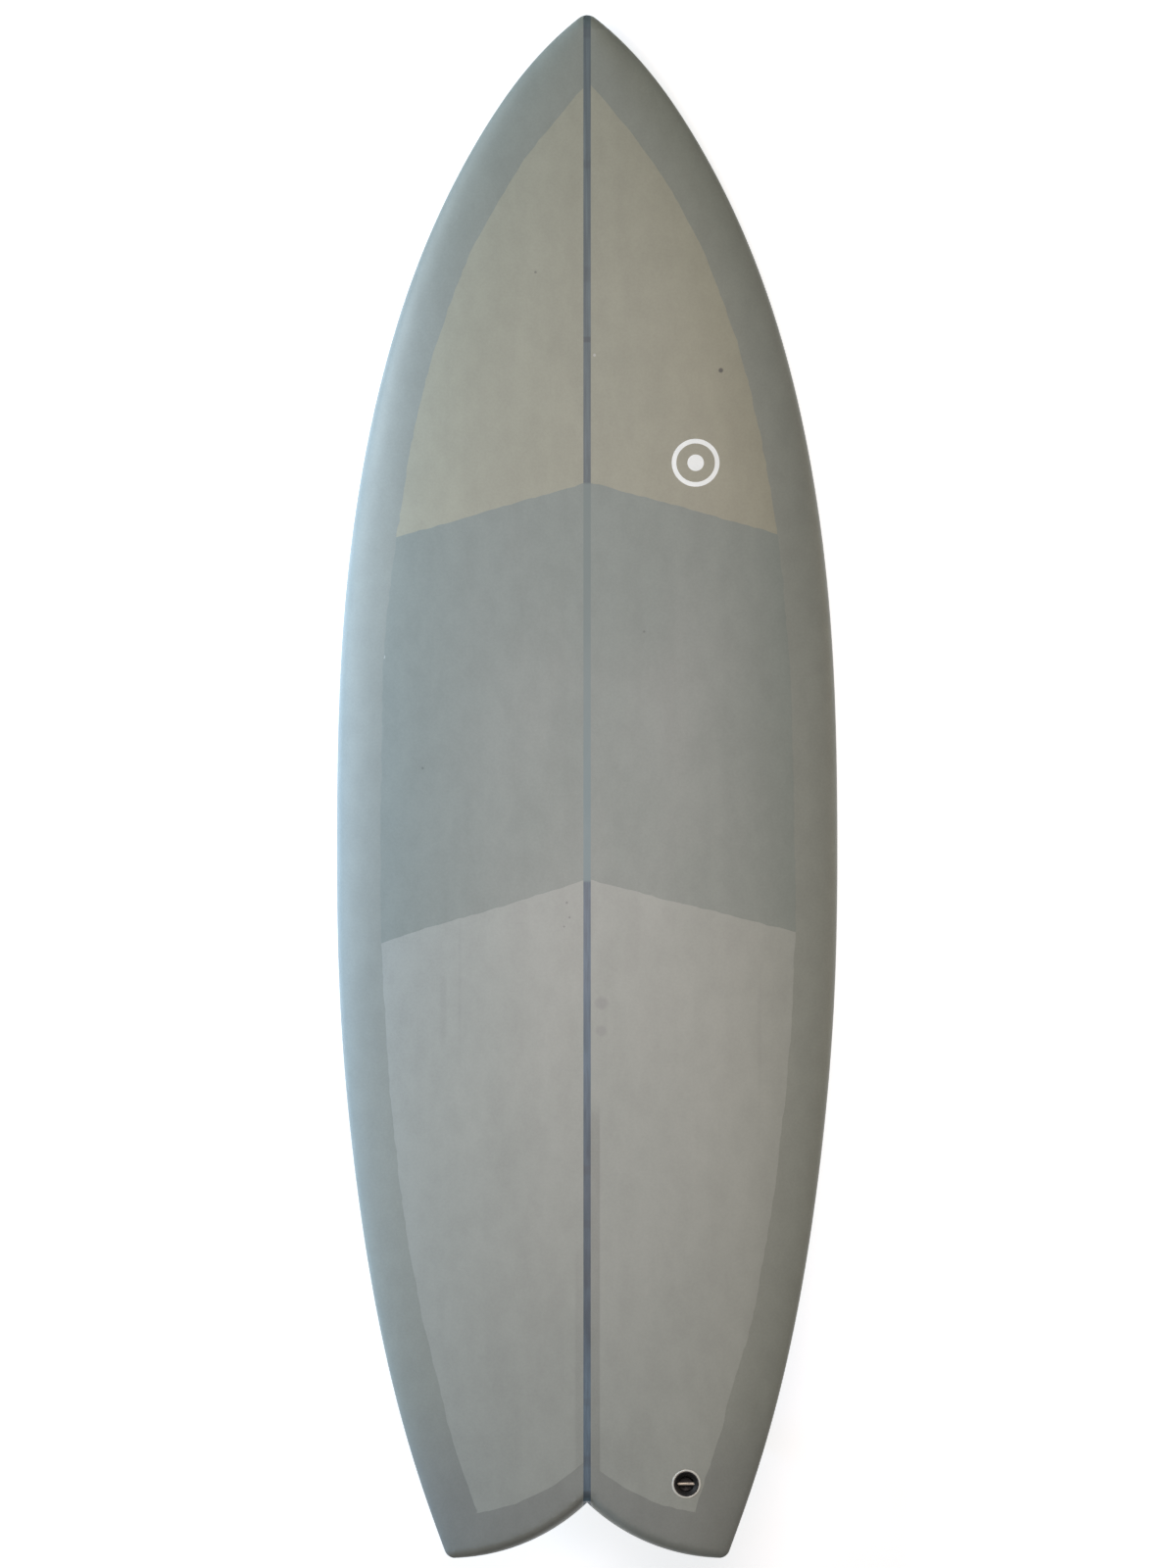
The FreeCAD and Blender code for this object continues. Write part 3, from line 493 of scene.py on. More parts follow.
# The stringer's knots and nicks: station and reach along the board in mm, and depth of colour
KNOTS = [
    (1660, 6, 0.25),
    (1517, 4, 0.2),
    (1398, 9, 0.22),
    (1327, 3, 0.45),
    (426, 5, 0.3),
    (368, 4, 0.25),
    (308, 9, 0.22),
    (176, 4, 0.2),
    (112, 6, 0.25),
    (76, 4, 0.5),
]
GRIME = [
    ((4, 14, 1.5), (90, 490, 25), 0.19),
    ((-13, -4, 2.5), (90, 330, 60), 0.09),
    ((-3.5, 60, 12), (90, 140, 22), 0.05),
    ((-160, -153, 3), (560, 640, 22), 0.06),
    ((-140, -137, 2), (520, 700, 40), 0.05),
    ((186, 190, 3), (480, 640, 45), 0.05),
]
SMUDGES = [
    (15.5, 607, 7, SMUDGE, 0.3),
    (15.5, 577, 6, SMUDGE, 0.26),
    (-22, 716, 1.4, DARK_SPECK, 0.4),
    (-19, 700, 1.2, DARK_SPECK, 0.4),
    (-25, 690, 1.0, DARK_SPECK, 0.4),
]
NOSE_MARKS = [
    (145.4, 1293, 2.6, DARK_SPECK, 0.75),
    (-56, 1400, 1.4, DARK_SPECK, 0.5),
    (8, 1310, 1.6, PALE_SPECK, 0.5),
]
BAND_MARKS = [
    (-222, 981, 2.2, PALE_SPECK, 0.6),
    (-179, 861, 1.4, DARK_SPECK, 0.4),
    (62, 1010, 1.3, DARK_SPECK, 0.4),
]
# Painted shade on the laps: darker and cooler towards the tail, a little darker towards the nose.
RAIL_END_SHADE = [((0.2, 0.05), (0.90, 0.89, 0.93)), ((1.3, 1.5), (0.955, 0.95, 0.925))]
MATERIALS = {
    "rail": glass("rail_tint", (0.260, 0.292, 0.254), 0.02, ends=RAIL_END_SHADE),
    "band": glass("patch_tint", (0.230, 0.272, 0.241), 0.025, marks=BAND_MARKS),
    "nose": glass("nose_window_tint", (0.324, 0.335, 0.256), 0.03, marks=NOSE_MARKS),
    "tail": glass("tail_window_tint", (0.319, 0.354, 0.314), 0.03, GRIME, SMUDGES),
    "bottom": glass("bottom_coat", (0.250, 0.282, 0.270), 0.025),
    "wood": stringer_wood("stringer_wood", 0.93),
    "bottom_wood": stringer_wood("stringer_wood_below", 0.0),
    "ink": plain("decal_ink", (0.925, 1.0, 0.96), 0.4, 0.01),
    "foam": foam(),
    "cup": plain("cup_plastic", (0.008, 0.009, 0.009), 0.5, 0.1, 200.0, 0.00003),
    "pin": plain("pin_metal", (0.64, 0.60, 0.50), 0.32, 0.05, 300.0, 0.00002, Metallic=0.55),
    "resin": plain("pale_resin", (0.67, 0.69, 0.61), 0.4, 0.06, 150.0, 0.00005),
    "plug": plain("plug_plastic", (0.03, 0.031, 0.032), 0.45, 0.1, 180.0, 0.00004),
    "steel": plain("screw_steel", (0.56, 0.56, 0.57), 0.3, 0.05, 400.0, 0.00002, Metallic=1.0),
    "fin": fin_laminate(),
}

# ---- Meshes


def placed(name, data):
    """A new object in the scene."""
    thing = bpy.data.objects.new(name, data)
    scene.collection.objects.link(thing)
    return thing


def add_piece(name, points, faces, material, replaced=(), body="board", normals=None):
    """A piece from board points in mm, riding on its body. Without normals, its sharp edges stay sharp."""
    mesh = bpy.data.meshes.new(name)
    mesh.from_pydata(moved(REST, points).tolist(), [], [list(map(int, face)) for face in faces])
    mesh.validate()
    mesh.materials.append(MATERIALS[material])
    mesh.polygons.foreach_set("use_smooth", [True] * len(mesh.polygons))
    if normals is None:
        mesh.set_sharp_from_angle(angle=SHARP_ANGLE)
    else:
        turned = np.asarray(normals) @ np.array(REST.to_3x3().normalized()).T
        mesh.normals_split_custom_set(turned.tolist())
    thing = placed(name, mesh)
    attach(thing, body)
    if replaced:
        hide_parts(*replaced)
    return thing


def to_flat(x, y):
    """Board x, y as a point of the unrolled sheet, where the rails' steep sides have their real width."""
    width = rim_x(y)
    around = np.arcsin(np.clip(np.asarray(x) / width, -1, 1))
    return np.stack([width * around, np.asarray(y, float)], axis=-1)


def from_flat(flat):
    width = rim_x(flat[:, 1])
    return width * np.sin(np.clip(flat[:, 0] / width, -math.pi / 2, math.pi / 2)), flat[:, 1]


def wobble(along, seed):
    """A hand-cut line's wander, in mm, at distances along it: long leans, short ones and ragged threads."""
    chance = random.Random(seed)
    total = np.zeros(len(along))
    for spacing, reach in WANDER:
        knots = np.arange(along.min() - spacing, along.max() + 2 * spacing, spacing)
        total += np.interp(along, knots, [chance.uniform(-reach, reach) for _ in knots])
    return total


def arc(centre, radius, start, stop, count):
    angle = np.linspace(start, stop, count)
    return np.stack([centre[0] + radius * np.cos(angle), centre[1] + radius * np.sin(angle)], axis=-1)


def tail_path(depth, tip_depth):
    """The right half's trailing edge and round tip, each moved inwards by its depth."""
    lobe = Vector((LOBE_SPREAD, LOBE_RADIUS))
    turn = math.atan2(TIP_CENTRE.y - lobe.y, TIP_CENTRE.x - lobe.x)
    trailing = arc(lobe, LOBE_RADIUS - depth, WOOD_AT_TAIL, turn, 54)
    return np.concatenate([trailing, arc(TIP_CENTRE, TIP_RADIUS - tip_depth, turn, -TIP_LEAN, 14)[1:]])


def right_outline():
    """The right half's edge in plan, from the crotch round the tip and up the rail to the nose."""
    tail = tail_path(0, 0)
    crotch = arc((LOBE_SPREAD, LOBE_RADIUS), LOBE_RADIUS, CROTCH, WOOD_AT_TAIL, 3)
    start = int(np.searchsorted(RIM[:, 1], tail[-1][1] + 1.0))
    rail = RIM[start : NOSE_TOUCH - 3 : 8]
    turn = math.atan2(RIM[NOSE_TOUCH, 1] - NOSE_CENTRE, RIM[NOSE_TOUCH, 0])
    nose = arc((0, NOSE_CENTRE), NOSE_RADIUS, turn, WOOD_AT_NOSE, 10)
    point = arc((0, NOSE_CENTRE), NOSE_RADIUS, WOOD_AT_NOSE, math.pi / 2, 5)
    outline = np.concatenate([crotch[:-1], tail, rail, nose, point[1:]])
    outline[0][0] = outline[-1][0] = 0.0
    return outline


EDGE = right_outline()


def offset_rim(width, drift):
    """The right rail's line moved inwards, as x at y, up to the centre line."""
    along = np.gradient(RIM, axis=0)
    along /= np.linalg.norm(along, axis=1)[:, None]
    wider = np.interp(RIM[:, 1], *zip(*drift))
    inner = RIM + np.stack([-along[:, 1], along[:, 0]], axis=-1) * (width + wider)[:, None]
    return inner[inner[:, 0] > 0]


def lap_lines(width, seed, drift):
    """For each side, the lap's inner edge along the rail and along the tail, as hand-cut lines."""
    lines = {}
    for side, sign in SIDES.items():
        rail = offset_rim(width, drift[side])
        rail = rail[rail[:, 1] > trailing_edge(rail[:, 0]) + width][::2]
        rail[:, 0] += wobble(rail[:, 1], seed + sign)
        across = np.arange(0, rail[0][0] + 1.0, 2.0)
        tail = np.stack([across, trailing_edge(across) + width + wobble(across, seed + 7 * sign)], axis=-1)
        rail[0] = tail[-1]
        lines[side] = (rail, tail)
    return lines


def chevron(station, falls, seed):
    """For each side, a hand-cut line from the stringer out past the rail, falling towards the tail."""
    across = np.arange(0, 290.0, 2.0)
    return {
        side: np.stack([across, station - across * falls[side] + wobble(across, seed + sign)], axis=-1)
        for side, sign in SIDES.items()
    }


DECK_LINES = lap_lines(DECK_LAP, 11, LAP_DRIFT)
BOTTOM_LINES = lap_lines(BOTTOM_LAP, 47, {side: [(0, 0), (LENGTH, 0)] for side in SIDES})
FRONT = chevron(PATCH_FRONT, FRONT_FALL, 5)
REAR = chevron(PATCH_REAR, REAR_FALL, 23)


def within(lines, x, y):
    """True inside the laps' inner edges."""
    inside = np.zeros(np.shape(x), bool)
    for side, sign in SIDES.items():
        rail, tail = lines[side]
        here = x * sign >= 0
        beside = np.abs(x) < np.interp(y, rail[:, 1], rail[:, 0], left=rail[0][0], right=0)
        ahead = y > np.interp(np.abs(x), tail[:, 0], tail[:, 1])
        inside |= here & beside & ahead
    return inside


def line_height(lines, x):
    """y of a chevron at x."""
    left, right = lines["left"], lines["right"]
    return np.where(x < 0, np.interp(-x, left[:, 0], left[:, 1]), np.interp(x, right[:, 0], right[:, 1]))


def loop_points(centre, radius, count):
    return arc(centre, radius, 0, 2 * math.pi, count + 1)[:-1]


def plug_loops(grow):
    """The outlines of the fin plugs, grown, where they meet the bottom."""
    radius = PLUG_WIDTH / 2 + grow
    reach = PLUG_LENGTH / 2 + grow - radius
    front = arc((0, reach), radius, 0, math.pi, 15)
    rear = arc((0, -reach), radius, math.pi, 2 * math.pi, 15)
    loops = []
    for side in SIDES.values():
        for end in (-1, 1):
            shifted = fin_frame(side) @ Matrix.Translation((0, end * TAB_SPACING / 2, 0))
            points = [shifted @ Vector((*point, 0)) for point in (*front, *rear)]
            loops.append(np.array([point[:2] for point in points]))
    return loops


def inside_loop(loop, x, y):
    """True inside a closed convex loop that runs either way round."""
    along = np.roll(loop, -1, axis=0) - loop
    sides = [a[0] * (y - at[1]) - a[1] * (x - at[0]) > 0 for at, a in zip(loop, along)]
    return np.all(sides, axis=0) | ~np.any(sides, axis=0)


def picked(faces, chosen):
    """The chosen faces renumbered, and which points they use."""
    used, packed = np.unique(faces[chosen], return_inverse=True)
    return packed.reshape(-1, 3), used


def open_edges(faces):
    """The edges with a face on one side only, each in its own face's direction."""
    directed = {(int(a), int(b)) for f in faces for a, b in ((f[0], f[1]), (f[1], f[2]), (f[2], f[0]))}
    return sorted(edge for edge in directed if edge[::-1] not in directed)


def sheet(deck, loops, lines):
    """A side of the board, triangulated: its points, its triangles and their middles, as x and y."""
    points, edges = [], []

    def add_line(line, closed=False):
        first, count = len(points), len(line)
        points.extend(map(tuple, to_flat(line[:, 0], line[:, 1])))
        edges.extend((first + i, first + i + 1) for i in range(count - 1))
        if closed:
            edges.append((first + count - 1, first))

    add_line(np.concatenate([EDGE[:-1], (EDGE * np.array([-1.0, 1.0]))[:0:-1]]), closed=True)
    for line in lines:
        add_line(line)
    for loop in loops:
        add_line(loop, closed=True)
    near = KDTree(len(points))
    for number, point in enumerate(points):
        near.insert((*point, 0), number)
    near.balance()

    def add_free(spread, room):
        """Adds the points that lie at least that far from every line."""
        points.extend(tuple(point) for point in spread if near.find((*point, 0))[2] > room)

    roll = DECK_ROLL if deck else BOTTOM_ROLL
    for depth in roll * (1 - np.cos(np.radians([20, 38, 56, 73, 90]))):
        ring = tail_path(depth, min(depth, TIP_RADIUS * 0.12 + depth * 0.5))
        ring = ring[ring[:, 0] > STRINGER_WIDTH / 2 + 1.0]
        for sign in SIDES.values():
            add_free(to_flat(ring[:, 0] * sign, ring[:, 1]), min(NEAREST, 0.7 * depth))
    columns = np.radians(np.arange(-90 + COLUMN_STEP, 89.9, COLUMN_STEP))
    stations = list(np.arange(3.0, NOSE_CENTRE, ROW_STEP))
    stations += [NOSE_CENTRE + NOSE_RADIUS * math.sin(math.radians(a)) for a in (0, 20, 40, 60, 78)]
    for y in stations:
        x = float(rim_x(y)) * np.sin(columns)
        clear = (y > trailing_edge(x) + roll * 1.25) & (np.abs(x) < half_width(y) * 0.9995)
        add_free(to_flat(x, np.full_like(x, y))[clear], NEAREST)

    flat, _, faces, *_ = delaunay_2d_cdt([Vector(p) for p in points], edges, [], 1, 1e-5)
    flat, faces = np.array([tuple(p) for p in flat]), np.array([list(face) for face in faces])
    middles = from_flat(flat[faces].mean(axis=1))
    if not deck:
        faces = faces[:, ::-1]
    x, y = from_flat(flat)
    z = height(x, y, deck)
    rim = sorted({end for edge in open_edges(faces) for end in edge})
    z[rim] = rocker(y[rim]) + thickness(y[rim]) * RAIL_HEIGHT
    return np.stack([x, y, z], axis=-1), faces, middles


def stringer_lines():
    """The stringer's two edges in plan, from the tail's edge to the nose's."""
    start = LOBE_RADIUS + LOBE_RADIUS * math.sin(WOOD_AT_TAIL)
    stop = NOSE_CENTRE + NOSE_RADIUS * math.sin(WOOD_AT_NOSE)
    slow = stop - 14.0
    along = np.concatenate([np.linspace(start, slow, 270), np.linspace(slow, stop, 24)[1:]])
    half = np.full_like(along, STRINGER_WIDTH / 2)
    return [np.stack([sign * half, along], axis=-1) for sign in SIDES.values()]


def both_sides(lines):
    """Each side's lines, drawn as on the right, put on their own sides."""
    return [line * np.array([sign, 1.0]) for side, sign in SIDES.items() for line in lines[side]]


def clipped(lines):
    """Each side of a chevron, ended just past the lap's inner edge."""
    inside = {}
    for side, line in lines.items():
        rail = DECK_LINES[side][0]
        inside[side] = [line[line[:, 0] < np.interp(line[:, 1], rail[:, 1], rail[:, 0]) + 1.0]]
    return both_sides(inside)


def unit(vectors):
    return vectors / np.maximum(np.linalg.norm(vectors, axis=1), 1e-12)[:, None]


def face_normals(points, faces):
    a, b, c = (points[faces[:, i]] for i in range(3))
    return np.cross(b - a, c - a)


def joined(deck_points, deck_faces, bottom_points, bottom_faces):
    """Both sheets as one closed surface: points, faces and the points' normals."""
    points = np.concatenate([deck_points, bottom_points])
    faces = np.concatenate([deck_faces, bottom_faces + len(deck_points)])
    _, first, same = np.unique(np.round(points, 3), axis=0, return_index=True, return_inverse=True)
    same = same.reshape(-1)
    weighted = face_normals(points, faces)
    normals = np.zeros((len(first), 3))
    for corner in range(3):
        np.add.at(normals, same[faces[:, corner]], weighted)
    return points[first], same[faces], unit(normals)


def open_loops(faces):
    """The open edges as closed chains of points."""
    following, loops = dict(open_edges(faces)), []
    while following:
        chain = [min(following)]
        while chain[-1] in following:
            chain.append(following.pop(chain[-1]))
        loops.append(chain[:-1])
    return loops


def shell_piece(name, surface, chosen, material, replaced):
    """The chosen faces as a closed sheet of laminate, shaded with the whole board's normals."""
    points, faces, normals = surface
    faces, used = picked(faces, chosen)
    outer, normal = points[used], normals[used]
    count = len(used)
    inner = outer - normal * LAMINATE
    walls = [(b, a, a + count, b + count) for a, b in open_edges(faces)]
    all_points = np.concatenate([outer, inner])
    all_faces = [tuple(f) for f in faces] + [tuple(f[::-1] + count) for f in faces] + walls
    loops = [normal[i] for f in faces for i in f] + [-normal[i] for f in faces for i in f[::-1]]
    for wall in walls:
        corner = all_points[list(wall)]
        square = np.cross(corner[1] - corner[0], corner[2] - corner[0])
        loops.extend([square / max(np.linalg.norm(square), 1e-9)] * 4)
    return add_piece(name, all_points, all_faces, material, replaced, normals=loops)


def make_skins():
    """The laminations: the laps with the rails, the patch, the bottom, the windows, and the decal on them."""
    stringer = stringer_lines()
    patch = clipped(FRONT) + clipped(REAR)
    leash_loop = loop_points(LEASH, CUP_RADIUS + RING_WIDTH, 48)
    decal_loops = [
        loop_points(DECAL, radius, count)
        for radius, count in ((DECAL_RADIUS, 72), (DECAL_RADIUS - DECAL_LINE, 60), (DECAL_DISC, 40))
    ]
    lines = stringer + both_sides(DECK_LINES) + patch
    *deck, (x, y) = sheet(True, [leash_loop, *decal_loops], lines)
    plugs = plug_loops(POT_WALL)
    *bottom, (u, v) = sheet(False, plugs, stringer + both_sides(BOTTOM_LINES))
    surface = joined(*deck, *bottom)

    from_decal = np.hypot(x - DECAL.x, y - DECAL.y)
    wood = np.abs(x) < STRINGER_WIDTH / 2
    hole = inside_loop(leash_loop, x, y)
    ink = (from_decal < DECAL_DISC) | ((from_decal > DECAL_RADIUS - DECAL_LINE) & (from_decal < DECAL_RADIUS))
    field = within(DECK_LINES, x, y) & ~wood
    ahead, behind = y > line_height(FRONT, x), y < line_height(REAR, x)
    band = field & ~ahead & ~behind
    clear = ~hole & ~ink
    lap = ~field & ~wood & clear

    bottom_wood = np.abs(u) < STRINGER_WIDTH / 2
    plug_holes = np.any([inside_loop(loop, u, v) for loop in plugs], axis=0)
    bottom_field = within(BOTTOM_LINES, u, v) & ~bottom_wood
    bottom_lap = ~bottom_field & ~bottom_wood & ~plug_holes
    none_above, none_below = np.zeros_like(x, bool), np.zeros_like(u, bool)

    def skin(name, above, below, material, replaced):
        shell_piece(name, surface, np.concatenate([above, below]), material, [replaced])

    skin("rail_lamination", lap, bottom_lap, "rail", "bottom_lamination")
    skin("deck_patch_cloth", band & clear, none_below, "band", "deck_patch")
    skin("bottom_skin", none_above, bottom_field & ~plug_holes, "bottom", "bottom_hot_coat")
    skin("decal_print", ink, none_below, "ink", "deck_decal")
    for side, sign in SIDES.items():
        here = field & clear & (x * sign > 0)
        skin(f"nose_window_{side}", here & ahead, none_below, "nose", "deck_lamination")
        skin(f"tail_window_{side}", here & behind, none_below, "tail", "deck_lamination")
    return surface, np.concatenate([wood, bottom_wood]), np.concatenate([hole, plug_holes])


def make_stringer(surface, wood):
    """The wooden slab, whose edges show through the glass on the deck and the bottom."""
    points, faces, _ = surface
    below = face_normals(points, faces[wood])[:, 2] < 0
    faces, used = picked(faces, wood)
    flanks = [loop[::-1] for loop in open_loops(faces)]
    slab = add_piece("stringer_slab", points[used], [*faces, *flanks], "wood", ["stringer"])
    slab.data.materials.append(MATERIALS["bottom_wood"])
    for polygon, under in zip(slab.data.polygons, below):
        polygon.material_index = int(under)


def make_foam(surface, wood, holes):
    """The blank's two halves, just under the skins, with pockets for the leash plug and the fin plugs."""
    points, faces, normals = surface
    across = points[faces].mean(axis=1)[:, 0]
    for side, sign in SIDES.items():
        fitted, used = picked(faces, ~wood & ~holes & (across * sign > 0))
        outer = points[used]
        foam = outer - normals[used] * FOAM_INSET
        sheets = [tuple(face) for face in fitted]
        for loop in open_loops(fitted):
            if abs(outer[loop][:, 0].mean()) < STRINGER_WIDTH:
                foam[loop, 0] = sign * STRINGER_WIDTH / 2
                sheets.append(loop[::-1])
                continue
            on_deck = normals[used][loop][:, 2].mean() > 0
            axis = (leash_frame() if on_deck else fin_frame(sign)).col[2][:3]
            depth = CUP_DEPTH if on_deck else PLUG_DEPTH + POT_WALL
            floor = list(range(len(foam), len(foam) + len(loop)))
            foam = np.concatenate([foam, outer[loop] - np.array(axis) * depth])
            sheets += [(loop[i], loop[i - 1], floor[i - 1], floor[i]) for i in range(len(loop))]
            sheets.append(floor[::-1])
        add_piece(f"foam_{side}", foam, sheets, "foam", [f"foam_half_{side}"])


def lathe(profile, segments):
    """Points and faces of a (radius, height) profile turned about Z: a ring, or closed where radius is 0."""
    points, rings = [], []
    for radius, z in profile:
        if radius == 0:
            rings.append([len(points)] * segments)
            points.append((0, 0, z))
            continue
        rings.append(list(range(len(points), len(points) + segments)))
        turn = np.linspace(0, 2 * math.pi, segments, endpoint=False)
        points.extend((radius * math.cos(a), radius * math.sin(a), z) for a in turn)
    faces = []
    closed = profile[0][0] != 0
    for low, high in zip(rings, rings[1:] + (rings[:1] if closed else [])):
        for i in range(segments):
            j = (i + 1) % segments
            face = [low[i], low[j], high[j], high[i]]
            face = [v for n, v in enumerate(face) if v != face[n - 1]]
            if len(face) > 2:
                faces.append(face)
    return np.array(points, float), faces


def soft_profile(corners, radii):
    """A closed or axis-ended profile with each corner rounded by its own radius; 0 keeps it sharp."""
    profile, corners = [], np.array(corners, float)
    around = np.stack([np.roll(corners, 1, axis=0), np.roll(corners, -1, axis=0)], axis=1)
    for corner, neighbours, radius in zip(corners, around, radii):
        if not radius:
            profile.append(tuple(corner))
            continue
        start, stop = corner + unit(neighbours - corner) * radius
        share = np.linspace(0, 1, 5)[:, None]
        curve = (1 - share) ** 2 * start + 2 * share * (1 - share) * corner + share**2 * stop
        profile.extend(map(tuple, curve))
    return profile


def turned_piece(name, place, segments, corners, radii, material, replaced):
    """A piece turned about Z from a profile's corners, rounded by those radii, and put in place."""
    points, faces = lathe(soft_profile(corners, radii), segments)
    add_piece(name, moved(place, points), faces, material, [replaced])


def make_leash_plug():
    """A black cup with a funnelled mouth, the bead of resin around it and the pin across it."""
    place = leash_frame()
    cup = [
        (0, -CUP_DEPTH),
        (CUP_RADIUS, -CUP_DEPTH),
        (CUP_RADIUS, CUP_LIP),
        (CUP_MOUTH + 0.3, CUP_LIP),
        (CUP_MOUTH, -0.25),
        (CUP_CAVITY, -CUP_FUNNEL_DEPTH),
        (CUP_CAVITY, -CUP_CAVITY_DEPTH),
        (0, -CUP_CAVITY_DEPTH),
    ]
    radii = [0, 0.4, 0.35, 0.15, 0.3, 0.5, 2.0, 0]
    turned_piece("leash_cup", place, 72, cup, radii, "cup", "leash_plug_cup")
    outside = CUP_RADIUS + RING_WIDTH
    ring = [
        (CUP_RADIUS, -CUP_DEPTH),
        (outside, -CUP_DEPTH),
        (outside, -RING_BULGE),
        (CUP_RADIUS + RING_WIDTH / 2, RING_BULGE),
        (CUP_RADIUS, -0.05),
    ]
    radii, replaced = [0, 0, 0.3, 0.8, 0.1], "leash_plug_resin_ring"
    turned_piece("leash_resin_ring", place, 72, ring, radii, "resin", replaced)
    half = PIN_LENGTH / 2
    pin = [(0, -half), (PIN_RADIUS, -half), (PIN_RADIUS, half), (0, half)]
    across = place @ Matrix.Translation((0, 0, -PIN_DEPTH)) @ Matrix.Rotation(math.pi / 2, 4, "Y")
    turned_piece("leash_pin", across, 28, pin, [0, 0.3, 0.3, 0], "pin", "leash_plug_pin")


def ring_faces(rings):
    """The walls between rings of points, and a face over each end."""
    faces = []
    for low, high in zip(rings, rings[1:]):
        for i in range(len(low)):
            j = (i + 1) % len(low)
            faces.append((low[i], low[j], high[j], high[i]))
    return [*faces, tuple(rings[0])[::-1], tuple(rings[-1])]


def fin_section(share, count=22):
    """A closed loop at a share of a fin's depth, in the fin's frame: foiled outside, flat inside."""
    front = -FIN_RAKE + (FIN_BASE / 2 + FIN_RAKE) * (1 - share**1.3) ** 0.75
    back = -FIN_BASE / 2 + FIN_SWEEP * math.sin(math.pi * share) - (FIN_RAKE - FIN_BASE / 2) * share
    chord, edge = front - back, FIN_EDGE * (1 - 0.5 * share)
    deep = FIN_TIP_THICKNESS + (FIN_THICKNESS - FIN_TIP_THICKNESS) * (1 - share) ** 0.8
    flat = FIN_THICKNESS / 2 - 0.5
    loop = []
    for step in range(count + 1):
        part = (step / count) ** 1.8
        foil = min(1.0, 2.2 * math.sqrt(part) * (1 - part) ** 0.9 / 1.25)
        depth = foil * deep * (1 - part) + edge * part + deep * 0.42 * part * (1 - part)
        loop.append((flat - depth, front - chord * part))
    inside = [(flat, front - chord * (step / count) ** 1.8) for step in range(count - 1, 0, -2)]
    return [*loop, (flat, back), *inside]


def make_fin(side):
    """A keel fin: a foiled blade whose foot follows the bottom, and two tabs."""
    sign = SIDES[side]
    place = fin_frame(sign)
    shares = [0.0, 0.03, *np.linspace(0.08, 0.9, 22), 0.93, 0.955, 0.973, 0.985, 0.993]
    points, rings = [], []
    for share in shares:
        loop = fin_section(share)
        rings.append(range(len(points), len(points) + len(loop)))
        points.extend((x, y * sign, share * FIN_DEPTH) for x, y in loop)
    points = moved(place, points)
    outward = np.array(place.col[2][:3])
    foot = points[: len(rings[0])]
    for _ in range(4):
        gap = height(foot[:, 0], foot[:, 1], False) - FIN_GAP - foot[:, 2]
        foot += (gap / outward[2])[:, None] * outward
    faces = ring_faces(rings)
    if sign < 0:
        faces = [face[::-1] for face in faces]
    points = list(map(tuple, points))
    for end in (-1, 1):
        tab_points, tab_faces = rounded_block(TAB_WIDTH, TAB_LENGTH, -TAB_DEPTH, TAB_ROOT, TAB_ROUND)
        shifted = place @ Matrix.Translation((0, end * TAB_SPACING / 2, 0))
        first = len(points)
        points.extend(map(tuple, moved(shifted, tab_points)))
        faces.extend(tuple(first + v for v in face) for face in tab_faces)
    body = f"{side}_fin_body"
    add_piece(f"{side}_keel_fin", points, faces, "fin", [f"{side}_fin"], body=body)


def rounded_block(width, length, low, high, bevel):
    """A block centred on the axis, with its upright and lower edges rounded."""
    levels = [(low, bevel * 0.9), (low + bevel * 0.3, bevel * 0.3), (low + bevel, 0.0), (high, 0.0)]
    x, y = width / 2 - bevel, length / 2 - bevel
    points, per = [], 16
    for z, shrink in levels:
        for n, (cx, cy) in enumerate(((x, y), (-x, y), (-x, -y), (x, -y))):
            for a in np.linspace(n * math.pi / 2, (n + 1) * math.pi / 2, per // 4):
                reach = bevel - shrink
                points.append((cx + reach * math.cos(a), cy + reach * math.sin(a), z))
    rings = [range(first, first + per) for first in range(0, len(points), per)]
    return np.array(points), ring_faces(rings)


def dress_cad_nodes():
    """The fin plugs, their resin and their screws stay as they are, with finished materials."""
    dress = {f"{side}_{end}_fin_plug": "plug" for side in SIDES for end in ("front", "rear")}
    dress |= {"fin_plug_resin": "resin", "fin_grub_screws": "steel"}
    for node, material in dress.items():
        slots = frame["nodes"][node].data.materials
        slots.clear()
        slots.append(MATERIALS[material])


# ---- Studio

VIEW_HEIGHT = 1705.3  # millimetres of the board's plane that fill the picture's height
VIEW_CENTRE = Vector((1.0, 842.8, 70.0))
CAMERA_DISTANCE = 14.0
WHITE = (1.0, 1.0, 1.0, 1.0)
FLOOR_TINT, FLOOR_GLOW = 0.76, 0.74
WORLD_LIGHT, WORLD_SEEN = 0.09, 0.81  # what the surroundings give, and how pale they look
# Each light's name, place, target, width, height, watts, colour and whether the gloss mirrors it. The cool
# wall and the low blue window are on the left, the faint lamp on the right and the warm ceiling overhead.
LIGHTS = [
    ("wall", (-1.9, 0.75, 1.4), (0.0, 0.2, 0.1), 1.2, 1.0, 31.8, (0.86, 0.95, 1.0), True),
    ("window", (-1.5, 0.16, 0.2), (0.0, 0.16, 0.08), 0.8, 0.3, 34.0, (0.37, 0.58, 1.0), False),
    ("lamp", (1.5, 0.1, 0.27), (0.0, 0.1, 0.08), 0.9, 0.3, 1.0, (1.0, 0.72, 0.4), True),
    ("ceiling", (0.1, 0.05, 1.55), (0.1, 0.05, 0.0), 0.8, 0.8, 12.3, (1.0, 0.824, 0.80), True),
]


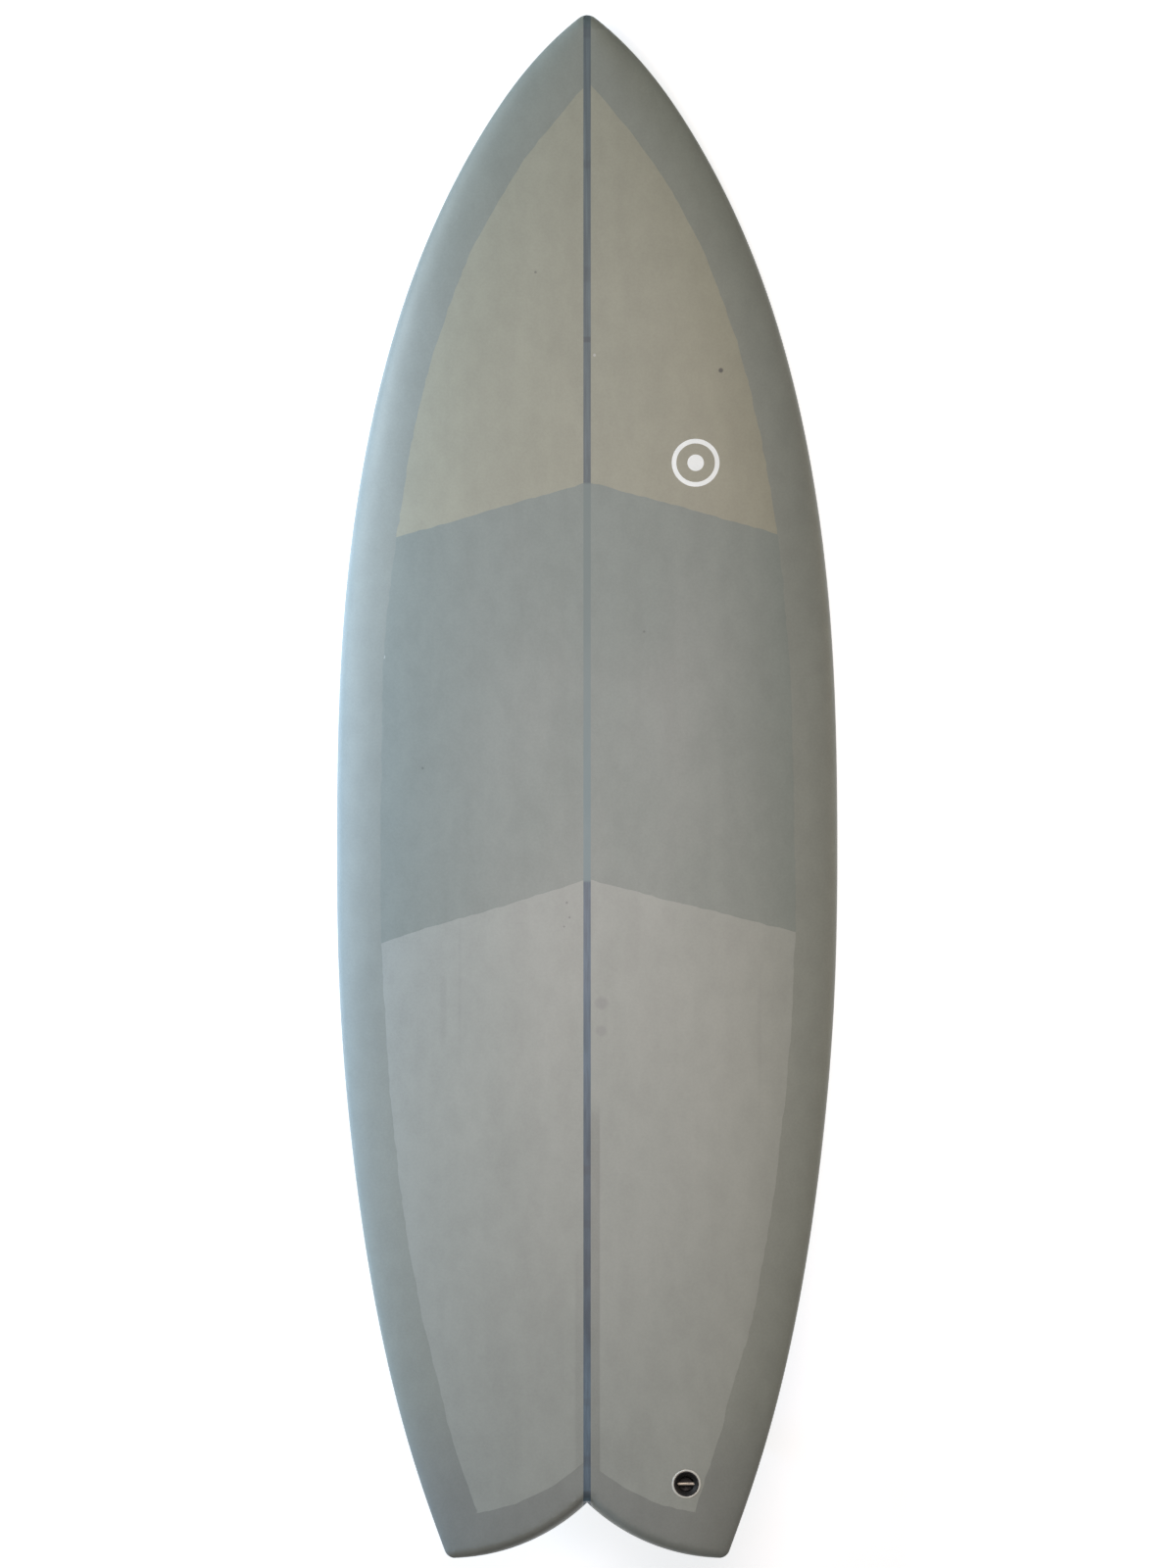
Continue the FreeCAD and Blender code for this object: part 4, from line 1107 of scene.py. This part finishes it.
def make_camera():
    """Square to the deck, with the nose up."""
    data = bpy.data.cameras.new("camera")
    data.sensor_width = 36.0
    data.lens = data.sensor_width * CAMERA_DISTANCE / (VIEW_HEIGHT / 1000)
    camera = placed("camera", data)
    turn = REST.to_3x3().normalized().to_4x4()
    target = REST @ VIEW_CENTRE
    camera.matrix_world = Matrix.Translation(target) @ turn @ Matrix.Translation((0, 0, CAMERA_DISTANCE))
    scene.camera = camera


def area_light(name, at, towards, size_x, size_y, power, colour, mirrored):
    data = bpy.data.lights.new(name, "AREA")
    data.shape, data.size, data.size_y = "RECTANGLE", size_x, size_y
    data.energy, data.color = power, colour
    lamp = placed(name, data)
    lamp.location = at
    lamp.visible_camera, lamp.visible_glossy = False, mirrored
    lamp.rotation_mode = "QUATERNION"
    lamp.rotation_quaternion = (Vector(towards) - Vector(at)).to_track_quat("-Z", "Y")


def make_studio():
    """A pale floor and even surroundings, lit by LIGHTS."""
    bpy.ops.mesh.primitive_plane_add(size=60)
    floor = bpy.context.object
    floor.name = "floor"
    shader = Shader("floor_paint")
    tint = shader.shade((FLOOR_TINT,) * 3, shader.ramp(shader.noise(1.5), 0.3, 0.7, 0.99, 1.01))
    paint = shader.finish(tint, 0.9, Emission_Color=WHITE, Emission_Strength=FLOOR_GLOW)
    floor.data.materials.append(paint)

    world = bpy.data.worlds.new("surroundings")
    scene.world = world
    world.use_nodes = True
    tree = world.node_tree
    lit, seen = tree.nodes["Background"], tree.nodes.new("ShaderNodeBackground")
    for background, strength in ((lit, WORLD_LIGHT), (seen, WORLD_SEEN)):
        background.inputs["Color"].default_value = WHITE
        background.inputs["Strength"].default_value = strength
    pick = tree.nodes.new("ShaderNodeMixShader")
    tree.links.new(tree.nodes.new("ShaderNodeLightPath").outputs["Is Camera Ray"], pick.inputs[0])
    tree.links.new(lit.outputs[0], pick.inputs[1])
    tree.links.new(seen.outputs[0], pick.inputs[2])
    tree.links.new(pick.outputs[0], tree.nodes["World Output"].inputs["Surface"])

    for light in LIGHTS:
        area_light(*light)

    scene.view_settings.view_transform = "Standard"
    scene.view_settings.look = "None"


make_camera()
board_surface, wood_faces, hole_faces = make_skins()
make_stringer(board_surface, wood_faces)
make_foam(board_surface, wood_faces, hole_faces)
make_leash_plug()
for fin_side in SIDES:
    make_fin(fin_side)
dress_cad_nodes()
make_studio()
